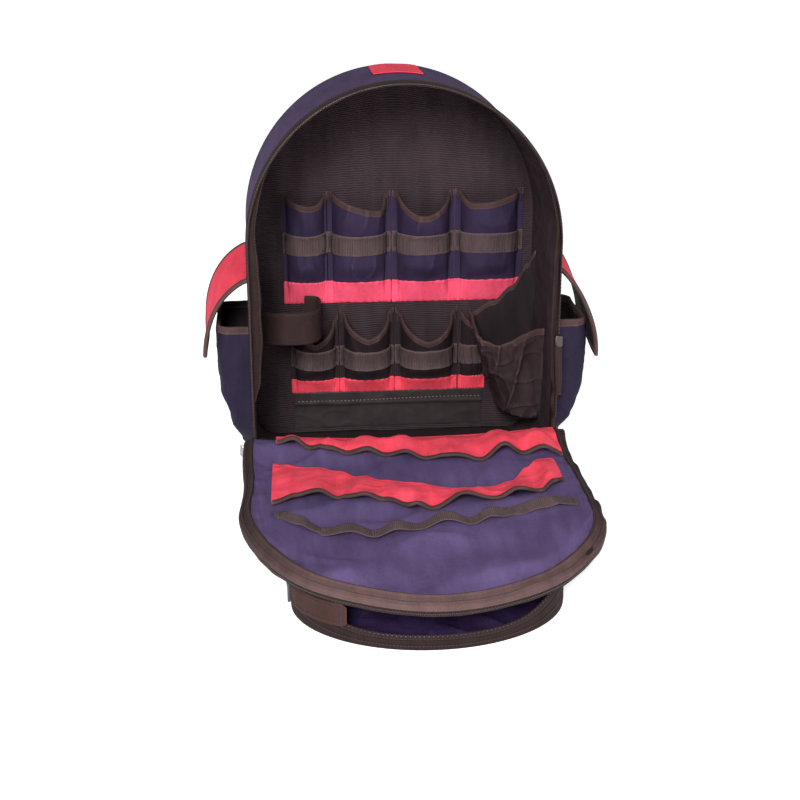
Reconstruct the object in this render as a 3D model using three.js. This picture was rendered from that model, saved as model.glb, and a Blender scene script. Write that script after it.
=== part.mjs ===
// Tool backpack with its clamshell door open, in millimetres, +Z up.
// It stands on its base. +X is the viewer's right, the door lies open towards -Y on its front pocket.
// The origin is at the middle of the base's underside.
import * as THREE from "three";

// Driving dimensions of the body
const BACK_W = 380;
const BACK_H = 490;
const RIM_W = 366;
const RIM_H = 480;
const BODY_D = 200;
const SPRING_Z = 295;
const FOOT_R = 30;
const WALL = 3;
const BASE_T = 4;
const BACK_T = 10;
const PIPING_R = 2.5;
const RIM_TAPE_W = 22;
const RIM_TAPE_T = 4;
const COIL_W = 6;
const COIL_T = 2.2;
const COIL_START = 0.2;
const SILL_H = 56;
const CLEAR = 0.4;

// Driving dimensions of the cloth
const CLOTH = 2;
const BINDING_W = 7;
const ELASTIC_T = 1.5;

// Driving dimensions of the tool pockets on the back wall
const UPPER_FOOT_Z = 214;
const UPPER_MOUTH_Z = 332;
const UPPER_BAND_W = 29;
const UPPER_ELASTIC_Z = 266;
const UPPER_DEEP = 38;
const LOWER_FOOT_Z = 80;
const LOWER_MOUTH_Z = 176;
const LOWER_BAND_W = 19;
const LOWER_ELASTIC_Z = 112;
const LOWER_DEEP = 42;
const ELASTIC_W = 26;
const WALL_STRIP_W = 50;

// Driving dimensions of the corner pocket and the tool strap
const CORNER_MOUTH_Z = 164;
const CORNER_TOP_Z = 254;
const CORNER_FOOT_Z = 34;
const CORNER_LEFT = 100;
const CORNER_LEFT_FOOT = 142;
const CORNER_BACK_Y = 66;
const CORNER_DEEP = 108;
const CORNER_R = 22;
const STRAP_Z = 176;
const STRAP_W = 40;
const STRAP_T = 2.4;

// Driving dimensions of the side pockets and their flaps
const SIDE_OUT = 46;
const SIDE_FRONT_Y = -80;
const SIDE_BACK_Y = 50;
const SIDE_FOOT_Z = 38;
const SIDE_MOUTH_Z = 200;
const SIDE_R = 18;
const FLAP_T = 3;
const FLAP_SEAM = 0.9;
const SIDE_FLARE = 1.6;

// Driving dimensions of the door
const DOOR_X = 4;
const DOOR_W = 376;
const DOOR_L = 388;
const DOOR_STRAIGHT = 165;
const DOOR_Z = 52;
const DOOR_T = 4;
const DOOR_GAP = 4;
const HINGE_RUN = 70;
const HINGE_INSIDE = 16;
const HINGE_FOLD = 1.2;
const HINGE_END = 4;
const CORNER_RISE = 8;
const BAND_OUT = 9;
const BAND_DROP = 7;
const BAND_T = 2.6;
const DOOR_COIL_W = 4;
const DOOR_POCKET_LIFT = 18;
const DOOR_ELASTIC_W = 20;
const DOOR_ELASTIC_LIFT = 12;

// Driving dimensions of the front pocket under the door
const POCKET_X = -6;
const POCKET_W = 272;
const POCKET_BACK = 66;
const POCKET_L = 394;
const POCKET_STRAIGHT = 292;
const POCKET_T = 2.6;
const POCKET_RIM_H = 20;
const POCKET_R = 34;
const POCKET_BULGE = 5;
const RIM_LEAN = 2;
const TAB_W = 22;
const TAB_Z = 24;
const TAB_RISE = 4;
const TAB_FROM = -0.985;
const TAB_TO = -0.62;
const LOOP_W = 8;
const LOOP_T = 3;
const TAG_W = 8;
const TAG_H = 16;
const TAG_T = 2;
const TAG_Z = 53;
const SLIDER_W = 9;
const SLIDER_H = 14;
const SLIDER_T = 4;
const SLIDER_Z = 181;
const PULL_W = 7;
const PULL_L = 60;
const PULL_T = 2.4;
const PULL_LEAN = 3;

// Driving dimensions of the carrying straps and the haul loop
const PAD_W = 66;
const PAD_T = 12;
const PAD_END_Z = 215;
const PAD_TOP_Z = 434;
const PAD_STAND = 34;
const PAD_TAPER = 0.72;
const LOCK_H = 30;
const LOCK_T = 4;
const LOCK_RIM = 6;
const WEB_W = 25;
const WEB_T = 2;
const WEB_BOW = 4;
const ANCHOR_IN = 8;
const ANCHOR_Z = 46;
const HAUL_W = 22;
const HAUL_REACH = 24;
const HAUL_SPAN = 100;
const HAUL_DOWN = 26;
const HAUL_SAG = 8;
const HAUL_SEWN = 0.14;
const YOKE_W = 60;

const HALF_D = BODY_D / 2;
const WALL_Y = HALF_D - BACK_T;
const lerp = (a, b, t) => a + (b - a) * t;
const clamp01 = (t) => Math.min(1, Math.max(0, t));
const smooth = (t) => clamp01(t) ** 2 * (3 - 2 * clamp01(t));
const steps = (n, from = 0, to = 1) => Array.from({ length: n + 1 }, (_, i) => from + ((to - from) * i) / n);

// A value read smoothly from a table of rows, between the rows' places.
function along(rows, at, value, place) {
  const last = rows.length - 1;
  if (place <= rows[0][at]) return rows[0][value];
  if (place >= rows[last][at]) return rows[last][value];
  const i = rows.findIndex((row) => row[at] > place) - 1;
  const t = (place - rows[i][at]) / (rows[i + 1][at] - rows[i][at]);
  return lerp(rows[i][value], rows[i + 1][value], smooth(t));
}

// Colours and finishes of the cloth and the hard parts
const FINISH = {
  navy: { color: 0x3a3560, roughness: 0.8, metalness: 0 },
  red: { color: 0xd8263f, roughness: 0.75, metalness: 0 },
  black: { color: 0x1d1a1e, roughness: 0.85, metalness: 0 },
  coated: { color: 0x17151a, roughness: 0.4, metalness: 0 },
  tape: { color: 0x4a3a38, roughness: 0.8, metalness: 0 },
  plastic: { color: 0x121214, roughness: 0.45, metalness: 0 },
  metal: { color: 0xb8b8bc, roughness: 0.3, metalness: 1 },
};

const pack = new THREE.Group();

function add(name, geometry, finish) {
  const mesh = new THREE.Mesh(geometry, new THREE.MeshStandardMaterial(FINISH[finish]));
  mesh.name = name;
  pack.add(mesh);
  return mesh;
}

// Turns every face outwards if the solid came out inside out.
function facingOut(points, faces) {
  let volume = 0;
  const a = new THREE.Vector3();
  const b = new THREE.Vector3();
  const c = new THREE.Vector3();
  for (let i = 0; i < faces.length; i += 3) {
    a.fromArray(points, faces[i] * 3);
    b.fromArray(points, faces[i + 1] * 3);
    c.fromArray(points, faces[i + 2] * 3);
    volume += a.dot(b.cross(c));
  }
  if (volume < 0) faces.reverse();
  const geometry = new THREE.BufferGeometry();
  geometry.setAttribute("position", new THREE.Float32BufferAttribute(points, 3));
  geometry.setIndex(faces);
  geometry.computeVertexNormals();
  return geometry;
}

// A closed solid between two surfaces, each a function of (u, v) that gives [x, y, z].
function slab(us, vs, outer, inner) {
  const points = [];
  for (const side of [outer, inner]) {
    for (const u of us) {
      for (const v of vs) points.push(...side(u, v));
    }
  }
  const faces = [];
  const id = (side, i, j) => (side * us.length + i) * vs.length + j;
  const quad = (a, b, c, d) => faces.push(a, b, c, a, c, d);
  const lastU = us.length - 1;
  const lastV = vs.length - 1;
  for (let i = 0; i < lastU; i++) {
    for (let j = 0; j < lastV; j++) {
      quad(id(0, i, j), id(0, i + 1, j), id(0, i + 1, j + 1), id(0, i, j + 1));
      quad(id(1, i, j), id(1, i, j + 1), id(1, i + 1, j + 1), id(1, i + 1, j));
    }
    quad(id(0, i, 0), id(1, i, 0), id(1, i + 1, 0), id(0, i + 1, 0));
    quad(id(0, i, lastV), id(0, i + 1, lastV), id(1, i + 1, lastV), id(1, i, lastV));
  }
  for (let j = 0; j < lastV; j++) {
    quad(id(0, 0, j), id(0, 0, j + 1), id(1, 0, j + 1), id(1, 0, j));
    quad(id(0, lastU, j), id(1, lastU, j), id(1, lastU, j + 1), id(0, lastU, j + 1));
  }
  return facingOut(points, faces);
}

// A cloth of even thickness on both sides of a middle surface.
function cloth(us, vs, middle, thick) {
  const small = 1e-3;
  const point = (u, v) => new THREE.Vector3(...middle(u, v));
  const normal = (u, v) => {
    const du = point(Math.min(1, u + small), v).sub(point(Math.max(0, u - small), v));
    const dv = point(u, Math.min(1, v + small)).sub(point(u, Math.max(0, v - small)));
    return du.cross(dv).normalize();
  };
  const side = (sign) => (u, v) => point(u, v).addScaledVector(normal(u, v), (sign * thick) / 2).toArray();
  return slab(us, vs, side(1), side(-1));
}

// Body outline seen from the front, t = 0 at the left foot, 1 at the right foot.
// share is 0 at the rim and 1 at the back, inset is measured inwards.
// The foot's corner takes the first CORNER_SHARE of t, the straight side the next SIDE_SHARE.
const CORNER_SHARE = 0.08;
const SIDE_SHARE = 0.22;
const halfWidth = (share) => lerp(RIM_W, BACK_W, share) / 2;
const shareAt = (y) => (y + HALF_D) / BODY_D;

function bodyOutline(t, share, inset) {
  if (t > 0.5) {
    const [x, z] = bodyOutline(1 - t, share, inset);
    return [-x, z];
  }
  const half = halfWidth(share);
  const crown = lerp(RIM_H, BACK_H, share) - SPRING_Z - inset;
  if (t < CORNER_SHARE) {
    const turn = ((t / CORNER_SHARE) * Math.PI) / 2;
    const r = FOOT_R - inset;
    return [-(half - FOOT_R) - r * Math.sin(turn), FOOT_R - r * Math.cos(turn)];
  }
  const side = (t - CORNER_SHARE) / SIDE_SHARE;
  if (side < 1) return [-(half - inset), lerp(FOOT_R, SPRING_Z, side)];
  const turn = ((t - CORNER_SHARE - SIDE_SHARE) / (0.5 - CORNER_SHARE - SIDE_SHARE)) * (Math.PI / 2);
  return [-(half - inset) * Math.cos(turn), SPRING_Z + crown * Math.sin(turn)];
}

const ARCH_FROM = CORNER_SHARE + SIDE_SHARE;
const BODY_STATIONS = [
  ...steps(3, 0, CORNER_SHARE),
  ...steps(2, CORNER_SHARE, ARCH_FROM).slice(1),
  ...steps(16, ARCH_FROM, 1 - ARCH_FROM).slice(1),
  ...steps(2, 1 - ARCH_FROM, 1 - CORNER_SHARE).slice(1),
  ...steps(3, 1 - CORNER_SHARE, 1).slice(1),
];

// A band of the body's wall between two depths.
function bodyBand(fromY, toY, rows, inset, thick, stations = BODY_STATIONS) {
  const surface = (depth) => (t, v) => {
    const y = lerp(fromY, toY, v);
    const [x, z] = bodyOutline(t, shareAt(y), depth);
    return [x, y, z];
  };
  return slab(stations, steps(rows), surface(inset), surface(inset + thick));
}

// Body: gusset, rim tape with its zip coil, base, sill, padded back and its piping
const TAPE_BACK_Y = -HALF_D + RIM_TAPE_W;
add("gusset", bodyBand(TAPE_BACK_Y + CLEAR, WALL_Y - CLEAR, 3, 0, WALL), "navy");
add("rim_tape", bodyBand(-HALF_D, TAPE_BACK_Y, 1, 0, RIM_TAPE_T), "tape");

const COIL_FROM = CORNER_SHARE + SIDE_SHARE * COIL_START;
const coilStations = BODY_STATIONS.filter((t) => t > COIL_FROM && t < 1 - COIL_FROM);
const rimCoil = [COIL_FROM, ...coilStations, 1 - COIL_FROM];
const coilInset = (RIM_TAPE_T - COIL_T) / 2;
const coilFrontY = -HALF_D - CLEAR - COIL_W;
add("rim_zipper", bodyBand(coilFrontY, -HALF_D - CLEAR, 1, coilInset, COIL_T, rimCoil), "tape");

function basePanel() {
  const across = (z) => (u, v) => {
    const y = lerp(-HALF_D, WALL_Y - CLEAR, v);
    const half = halfWidth(shareAt(y)) - FOOT_R - CLEAR;
    return [lerp(-half, half, u), y, z];
  };
  return slab(steps(4), steps(2), across(0), across(BASE_T));
}
add("base_panel", basePanel(), "black");

// The sill's top edge rises towards the sides, where the door's corners are held up.
const sillTop = (x) => SILL_H + CORNER_RISE * (x / (RIM_W / 2)) ** 2;

function frontSill() {
  const half = RIM_W / 2 - RIM_TAPE_T - CLEAR;
  const foot = BASE_T + CLEAR;
  const column = (u) => {
    const x = lerp(-half, half, u);
    const pastFlat = Math.max(0, Math.abs(x) - (RIM_W / 2 - FOOT_R));
    const r = FOOT_R - RIM_TAPE_T - CLEAR - 1;
    const low = Math.max(foot, FOOT_R - Math.sqrt(Math.max(0, r * r - pastFlat * pastFlat)));
    return [x, low, sillTop(x)];
  };
  const face = (y) => (u, v) => {
    const [x, low, high] = column(u);
    return [x, y, lerp(low, high, v)];
  };
  const us = [0, 0.008, 0.02, 0.04, ...steps(6, 0.07, 0.93), 0.96, 0.98, 0.992, 1];
  return slab(us, steps(1), face(-HALF_D), face(-HALF_D + WALL));
}
add("front_sill", frontSill(), "black");

// Extrudes an outline drawn in x and z towards -Y from the depth given.
function plateY(outline, fromY, thick, holes = []) {
  const shape = new THREE.Shape(outline.map(([x, z]) => new THREE.Vector2(x, z)));
  for (const hole of holes) shape.holes.push(new THREE.Path(hole.map(([x, z]) => new THREE.Vector2(x, z))));
  const geometry = new THREE.ExtrudeGeometry(shape, { depth: thick, bevelEnabled: false });
  geometry.rotateX(Math.PI / 2);
  geometry.translate(0, fromY, 0);
  return geometry;
}

const backInset = 2 * PIPING_R + CLEAR;
add("back_panel", plateY(BODY_STATIONS.map((t) => bodyOutline(t, 1, backInset)), HALF_D, BACK_T), "black");

// A round rod whose rings stand at the points given.
function rod(points, radius, sides) {
  const line = points.map((p) => new THREE.Vector3(...p));
  const positions = [];
  const last = line.length - 1;
  const headingAt = (i) => line[Math.min(last, i + 1)].clone().sub(line[Math.max(0, i - 1)]).normalize();
  let across = new THREE.Vector3(0, 1, 0);
  line.forEach((point, i) => {
    const ahead = headingAt(i);
    across = across.addScaledVector(ahead, -across.dot(ahead)).normalize();
    const up = ahead.clone().cross(across);
    for (let k = 0; k < sides; k++) {
      const turn = ((k + 0.5) * 2 * Math.PI) / sides;
      const ring = point.clone().addScaledVector(across, radius * Math.cos(turn));
      positions.push(...ring.addScaledVector(up, radius * Math.sin(turn)).toArray());
    }
  });
  const faces = [];
  for (let i = 0; i < last; i++) {
    for (let k = 0; k < sides; k++) {
      const next = (k + 1) % sides;
      faces.push(i * sides + k, (i + 1) * sides + k, (i + 1) * sides + next);
      faces.push(i * sides + k, (i + 1) * sides + next, i * sides + next);
    }
  }
  for (let k = 1; k < sides - 1; k++) {
    faces.push(0, k, k + 1);
    faces.push(last * sides, last * sides + k + 1, last * sides + k);
  }
  return facingOut(positions, faces);
}

const pipingLine = BODY_STATIONS.map((t) => {
  const [x, z] = bodyOutline(t, 1, PIPING_R);
  return [x, WALL_Y + PIPING_R, z + CLEAR];
});
add("back_piping", rod(pipingLine, PIPING_R - CLEAR / 2, 6), "tape");

// Red patch over the top of the gusset and the haul loop behind it
function topYoke() {
  const halfTurn = YOKE_W / 2 / (BACK_W / 2);
  const surface = (lift) => (u, v) => {
    const turn = Math.PI / 2 + lerp(halfTurn, -halfTurn, u);
    const y = lerp(0, WALL_Y - CLEAR, v);
    const half = halfWidth(shareAt(y));
    const crown = lerp(RIM_H, BACK_H, shareAt(y)) - SPRING_Z;
    return [(half + lift) * Math.cos(turn), y, SPRING_Z + (crown + lift) * Math.sin(turn)];
  };
  return slab(steps(4), steps(2), surface(CLEAR), surface(CLEAR + ELASTIC_T));
}
add("top_yoke", topYoke(), "red");

// The loop stands off the back between its two sewn ends.
function haulLoop() {
  const z = BACK_H - HAUL_DOWN;
  const middle = (u, v) => {
    const swing = Math.sin(Math.PI * smooth((u - HAUL_SEWN) / (1 - 2 * HAUL_SEWN)));
    const x = HAUL_SPAN * (u - 0.5);
    const foot = HALF_D + CLEAR + WEB_T / 2;
    return [x, foot + HAUL_REACH * swing, z + (v - 0.5) * HAUL_W - HAUL_SAG * swing];
  };
  return cloth(steps(14), steps(1), middle, WEB_T);
}
add("haul_loop", haulLoop(), "tape");

// Padded shoulder straps, from the top of the back down to their ladder locks.
// share runs down the strap, x is its middle as a share of half the back's width.
const PAD_ROUTE = [
  { share: 0, x: 0.27 },
  { share: 0.3, x: 0.36 },
  { share: 0.65, x: 0.5 },
  { share: 1, x: 0.58 },
];

function padMiddle(sign, share, across) {
  const foot = HALF_D + CLEAR + PAD_T / 2;
  const x = (along(PAD_ROUTE, "share", "x", share) * BACK_W) / 2;
  const y = foot + PAD_STAND * Math.sin((share * Math.PI) / 2);
  const width = PAD_W * lerp(1, PAD_TAPER, share);
  return [sign * (x + across * width), y, lerp(PAD_TOP_Z, PAD_END_Z, share)];
}

for (const [side, sign] of [["left", -1], ["right", 1]]) {
  const middle = (u, v) => padMiddle(sign, u, v - 0.5);
  add(`shoulder_strap_${side}`, cloth(steps(8), steps(2), middle, PAD_T), "black");

  // Ladder lock: a flat frame with two slots, hanging below the pad's end
  const [lockX, lockY] = padMiddle(sign, 1, 0);
  const lockTop = PAD_END_Z - CLEAR;
  const box = (cx, cz, w, h) => [
    [cx - w / 2, cz - h / 2], [cx + w / 2, cz - h / 2], [cx + w / 2, cz + h / 2], [cx - w / 2, cz + h / 2],
  ];
  const slots = [0.28, 0.72].map((at) => box(lockX, lockTop - LOCK_H * at, WEB_W + LOCK_RIM / 2, LOCK_RIM));
  const rim = box(lockX, lockTop - LOCK_H / 2, WEB_W + 2 * LOCK_RIM, LOCK_H);
  const frame = plateY(rim, lockY + LOCK_T / 2, LOCK_T, slots);
  add(`ladder_lock_${side}`, frame, "plastic");

  // Webbing from the lock down to the lower corner of the back
  const anchor = [sign * (BACK_W / 2 - FOOT_R - ANCHOR_IN), HALF_D + CLEAR + WEB_T / 2, ANCHOR_Z];
  const start = [lockX, lockY, lockTop - LOCK_H - CLEAR];
  const web = (u, v) => {
    const bow = Math.sin(Math.PI * u);
    const x = lerp(start[0], anchor[0], u) + (v - 0.5) * WEB_W;
    const flat = clamp01((u - 0.85) / 0.15);
    const y = lerp(start[1], anchor[1], smooth(u / 0.85)) + WEB_BOW * bow * (1 - flat);
    return [x, y, lerp(start[2], anchor[2], u)];
  };
  add(`strap_webbing_${side}`, cloth(steps(8), steps(1), web, WEB_T), "tape");
}

// Pockets in a row on the back wall. Places are shares of half the back's width, depths and dips
// are shares of the row's own named depth and height.
const UPPER_POCKETS = [
  { left: -0.735, right: -0.47, deep: 0.8, dip: 0.1, peak: 1.0 },
  { left: -0.43, right: -0.065, deep: 1, dip: 0.2, peak: 1.05 },
  { left: 0.045, right: 0.4, deep: 1.05, dip: 0.24, peak: 1.05 },
  { left: 0.45, right: 0.885, deep: 0.9, dip: 0.12, peak: 1.06 },
];
const LOWER_POCKETS = [
  { left: -0.7, right: -0.4, deep: 0.8, dip: 0.36, peak: 0.96 },
  { left: -0.36, right: -0.01, deep: 1, dip: 0.36, peak: 1.05 },
  { left: 0.03, right: 0.44, deep: 1.05, dip: 0.42, peak: 1.05 },
  { left: 0.485, right: 0.64, deep: 0.4, dip: 0.2, peak: 1.02 },
];
// How far a pocket stands out at a height, as a share of its depth
const POCKET_FORM = [
  { up: 0, out: 0.34 },
  { up: 0.22, out: 0.72 },
  { up: 0.45, out: 0.84 },
  { up: 0.7, out: 0.96 },
  { up: 1, out: 1 },
];
const SEAM_W = 0.035;

const UPPER = {
  name: "upper",
  pockets: UPPER_POCKETS,
  foot: UPPER_FOOT_Z,
  mouth: UPPER_MOUTH_Z,
  deep: UPPER_DEEP,
  band: UPPER_BAND_W,
  elastic: UPPER_ELASTIC_Z,
};
const LOWER = {
  name: "lower",
  pockets: LOWER_POCKETS,
  foot: LOWER_FOOT_Z,
  mouth: LOWER_MOUTH_Z,
  deep: LOWER_DEEP,
  band: LOWER_BAND_W,
  elastic: LOWER_ELASTIC_Z,
};

// One pocket's section: s = 0 and 1 are its seams, with a flat flange beside each.
const FLANGE = 0.1;
const POCKET_STATIONS = [0, FLANGE, ...steps(8, FLANGE, 1 - FLANGE).slice(1, -1), 1 - FLANGE, 1];

// How far a pocket's cloth swells at a place across it, from 0 at the seams to 1 in front.
const pocketTurn = (s) => Math.PI * clamp01((s - FLANGE) / (1 - 2 * FLANGE));
const pocketSwell = (s) => Math.sin(pocketTurn(s)) ** 0.8;

// A point of the row's cloth, counted out from the wall. Below its foot it closes to the wall.
function rowPoint(row, pocket, s, z) {
  const half = BACK_W / 2;
  const left = (pocket.left - SEAM_W / 2) * half + CLEAR;
  const right = (pocket.right + SEAM_W / 2) * half - CLEAR;
  const up = clamp01((z - row.foot) / (row.mouth - row.foot));
  const close = clamp01(1 - (row.foot - z) / row.band);
  const out = row.deep * pocket.deep * along(POCKET_FORM, "up", "out", up) * pocketSwell(s) * close;
  const round = lerp(FLANGE, 1 - FLANGE, (1 - Math.cos(pocketTurn(s))) / 2);
  const flat = s < FLANGE || s > 1 - FLANGE;
  return new THREE.Vector3(lerp(left, right, flat ? s : round), WALL_Y - CLEAR - CLOTH / 2 - out, z);
}

function rowNormal(row, pocket, s, z) {
  const small = 0.004;
  const before = rowPoint(row, pocket, Math.max(0, s - small), z);
  const ds = rowPoint(row, pocket, Math.min(1, s + small), z).sub(before);
  const dz = rowPoint(row, pocket, s, z + 0.1).sub(rowPoint(row, pocket, s, z - 0.1));
  return ds.cross(dz).normalize();
}

// A cloth that follows the row's surface between two heights, offset outwards.
function rowCloth(row, pockets, rows, low, high, offset, thick) {
  const places = pockets.flatMap((pocket) => POCKET_STATIONS.map((s) => ({ pocket, s })));
  const surface = (lift) => (i, v) => {
    const { pocket, s } = places[i];
    const z = lerp(low(pocket, s), high(pocket, s), v);
    return rowPoint(row, pocket, s, z).addScaledVector(rowNormal(row, pocket, s, z), lift).toArray();
  };
  return slab([...places.keys()], steps(rows), surface(offset + thick / 2), surface(offset - thick / 2));
}

for (const row of [UPPER, LOWER]) {
  const tall = row.mouth - row.foot;
  const lip = (pocket, s) => row.foot + tall * (pocket.peak - pocket.dip * pocketSwell(s));
  const foot = () => row.foot + CLEAR;
  const hem = (pocket, s) => lip(pocket, s) - BINDING_W;
  const finish = row.name === "upper" ? "navy" : "black";
  row.pockets.forEach((pocket, k) => {
    add(`${row.name}_pocket_${k + 1}`, rowCloth(row, [pocket], 4, foot, hem, 0, CLOTH), finish);
  });
  const aboveHem = (pocket, s) => hem(pocket, s) + CLEAR;
  add(`${row.name}_binding`, rowCloth(row, row.pockets, 1, aboveHem, lip, 0, CLOTH), "tape");
  const over = (CLOTH + ELASTIC_T) / 2 + 2 * CLEAR;
  const elasticLow = () => row.elastic - ELASTIC_W / 2;
  const elasticHigh = () => row.elastic + ELASTIC_W / 2;
  add(`${row.name}_elastic`, rowCloth(row, row.pockets, 1, elasticLow, elasticHigh, over, ELASTIC_T), "tape");
  const bandLow = () => row.foot - row.band;
  const bandHigh = () => row.foot;
  add(`${row.name}_red_band`, rowCloth(row, row.pockets, 1, bandLow, bandHigh, 0, CLOTH), "red");
}

// Coated strip along the foot of the back wall
function wallStrip() {
  const left = (LOWER_POCKETS[0].left * BACK_W) / 2;
  const right = (LOWER_POCKETS[3].right * BACK_W) / 2;
  const high = LOWER_FOOT_Z - LOWER_BAND_W - CLEAR;
  const face = (y) => (u, v) => [lerp(left, right, u), y, lerp(high - WALL_STRIP_W, high, v)];
  return slab(steps(2), steps(1), face(WALL_Y - CLEAR), face(WALL_Y - CLEAR - CLOTH));
}
add("wall_strip", wallStrip(), "coated");

// Inner face of the body's side at a depth, for what is sewn to it
const innerSide = (y) => halfWidth(shareAt(y)) - WALL;
const outerSide = (y) => halfWidth(shareAt(y));

// Corner pocket at the right: a back sheet with a slanted top edge, and the pocket in front of it.
const CORNER_SLOPE = [
  { across: 0, rise: 0.1 },
  { across: 0.36, rise: 0.27 },
  { across: 0.65, rise: 0.49 },
  { across: 0.88, rise: 0.82 },
  { across: 1, rise: 1 },
];

function cornerBack() {
  const right = innerSide(CORNER_BACK_Y) - CLEAR;
  const top = CORNER_SLOPE.map(({ across, rise }) => [
    lerp(CORNER_LEFT, right, across), lerp(CORNER_MOUTH_Z, CORNER_TOP_Z, rise),
  ]);
  const outline = [[CORNER_LEFT_FOOT, CORNER_FOOT_Z], [right, CORNER_FOOT_Z], ...top.reverse()];
  return plateY(outline, CORNER_BACK_Y + CLOTH / 2, CLOTH);
}
add("corner_pocket_back", cornerBack(), "black");

// The pocket's cloth runs forward from the back sheet, round its corner and across to the side wall.
// CORNER_LIP is how far its mouth rises or dips along the cloth, as a share of the mouth's height.
const CORNER_FORM = [
  { up: 0, out: 0 },
  { up: 0.05, out: 0.6 },
  { up: 0.16, out: 0.9 },
  { up: 0.6, out: 0.96 },
  { up: 1, out: 1 },
];
const CORNER_LIP = [
  { share: 0, rise: 0.08 },
  { share: 0.3, rise: 0 },
  { share: 0.62, rise: -0.08 },
  { share: 1, rise: 0.05 },
];

function cornerPoint(u, z) {
  const up = (z - CORNER_FOOT_Z) / (CORNER_MOUTH_Z - CORNER_FOOT_Z);
  const k = along(CORNER_FORM, "up", "out", clamp01(up));
  const left = lerp(CORNER_LEFT_FOOT, CORNER_LEFT, clamp01(up));
  const backY = CORNER_BACK_Y - CLOTH - CLEAR;
  const frontY = WALL_Y - CORNER_DEEP;
  const right = innerSide(frontY) - CLEAR;
  const turn = (clamp01((u - 0.36) / 0.28) * Math.PI) / 2;
  let x = left + CORNER_R * (1 - Math.cos(turn));
  let y = frontY + CORNER_R * (1 - Math.sin(turn));
  if (u < 0.36) y = lerp(backY, frontY + CORNER_R, u / 0.36);
  if (u > 0.64) x = lerp(left + CORNER_R, right, (u - 0.64) / 0.36);
  const flatX = lerp(left, innerSide(backY) - CLEAR, u);
  return [lerp(flatX, x, k), lerp(backY, y, k), z];
}

const cornerLip = (u) => CORNER_MOUTH_Z * (1 + along(CORNER_LIP, "share", "rise", u));
const CORNER_STATIONS = [0, 0.18, ...steps(5, 0.36, 0.64), 0.82, 1];
const CORNER_ROWS = [0, 0.05, 0.16, 0.58, 1];

function cornerCloth(rows, low, high) {
  const middle = (u, v) => cornerPoint(u, lerp(low(u), high(u), v));
  return cloth(CORNER_STATIONS, rows, middle, CLOTH);
}
const cornerHem = (u) => cornerLip(u) - BINDING_W;
add("corner_pocket", cornerCloth(CORNER_ROWS, () => CORNER_FOOT_Z, cornerHem), "black");
add("corner_binding", cornerCloth([0, 1], (u) => cornerHem(u) + CLEAR, cornerLip), "tape");

// Wide webbing loop in the left corner, from the side wall round to the back wall.
// across is a share of the half width at the wall, back a share of the wall's depth.
const STRAP_PATH = [
  { across: -0.999, back: 0.42 },
  { across: -0.99, back: 0.14 },
  { across: -0.935, back: -0.04 },
  { across: -0.78, back: -0.13 },
  { across: -0.64, back: -0.08 },
  { across: -0.55, back: 0.14 },
  { across: -0.535, back: 0.5 },
  { across: -0.53, back: 0.78 },
  { across: -0.56, back: 0.87 },
  { across: -0.63, back: 0.88 },
];

function toolStrap() {
  const route = new THREE.CatmullRomCurve3(
    STRAP_PATH.map(({ across, back }) => {
      const y = back * WALL_Y;
      return new THREE.Vector3(across * (innerSide(y) - CLEAR - STRAP_T / 2), y, 0);
    }),
  );
  const middle = (u, v) => {
    const at = route.getPoint(clamp01(u));
    return [at.x, at.y, STRAP_Z + (v - 0.5) * STRAP_W];
  };
  return cloth(steps(20), steps(1), middle, STRAP_T);
}
add("tool_strap", toolStrap(), "tape");

// Pockets on the outside of the body's sides, and the flaps over them.
// up runs from the foot to the mouth, out is a share of how far the pocket stands out.
const SIDE_FORM = [
  { up: 0, out: 0 },
  { up: 0.04, out: 0.3 },
  { up: 0.2, out: 0.74 },
  { up: 0.46, out: 1 },
  { up: 0.75, out: 0.92 },
  { up: 1, out: 0.74 },
];
const SIDE_STATIONS = [0, 0.14, ...steps(3, 0.24, 0.36), 0.5, ...steps(3, 0.64, 0.76), 0.86, 1];

// u runs round the pocket's three sides, from the front seam to the back seam.
function sidePoint(sign, u, z) {
  const up = clamp01((z - SIDE_FOOT_Z) / (SIDE_MOUTH_Z - SIDE_FOOT_Z));
  const k = along(SIDE_FORM, "up", "out", up);
  const near = CLEAR + CLOTH / 2;
  const mirrored = u > 0.5 ? 1 - u : u;
  const turn = (clamp01((mirrored - 0.24) / 0.12) * Math.PI) / 2;
  let out = SIDE_OUT - SIDE_R * (1 - Math.sin(turn));
  let inFromEdge = SIDE_R * (1 - Math.cos(turn));
  const halfRun = (SIDE_BACK_Y - SIDE_FRONT_Y) / 2;
  if (mirrored < 0.24) out = lerp(near, SIDE_OUT - SIDE_R, mirrored / 0.24);
  if (mirrored > 0.36) inFromEdge = lerp(SIDE_R, halfRun, (mirrored - 0.36) / 0.14);
  const edge = lerp(mirrored * 2 * halfRun, inFromEdge, clamp01(k * SIDE_FLARE));
  const y = u > 0.5 ? SIDE_BACK_Y - edge : SIDE_FRONT_Y + edge;
  return [sign * (outerSide(y) + lerp(near, out, k)), y, z];
}

function sideCloth(sign, rows, low, high) {
  return cloth(SIDE_STATIONS, rows, (u, v) => sidePoint(sign, u, lerp(low, high, v)), CLOTH);
}

// A flap is sewn on at frontZ and backZ, stands out by reach and hangs down by drop,
// bow and hang are the powers that bend its way out and its way down.
const FLAPS = [
  { side: "left", sign: -1, frontZ: 254, backZ: 274, reach: 52, drop: 90, bow: 2, hang: 1.3 },
  { side: "right", sign: 1, frontZ: 275, backZ: 268, reach: 52, drop: 116, bow: 1.7, hang: 1.2 },
];
const SIDE_ROWS = [0, 0.04, 0.2, 0.46, 0.73, 1];

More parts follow.
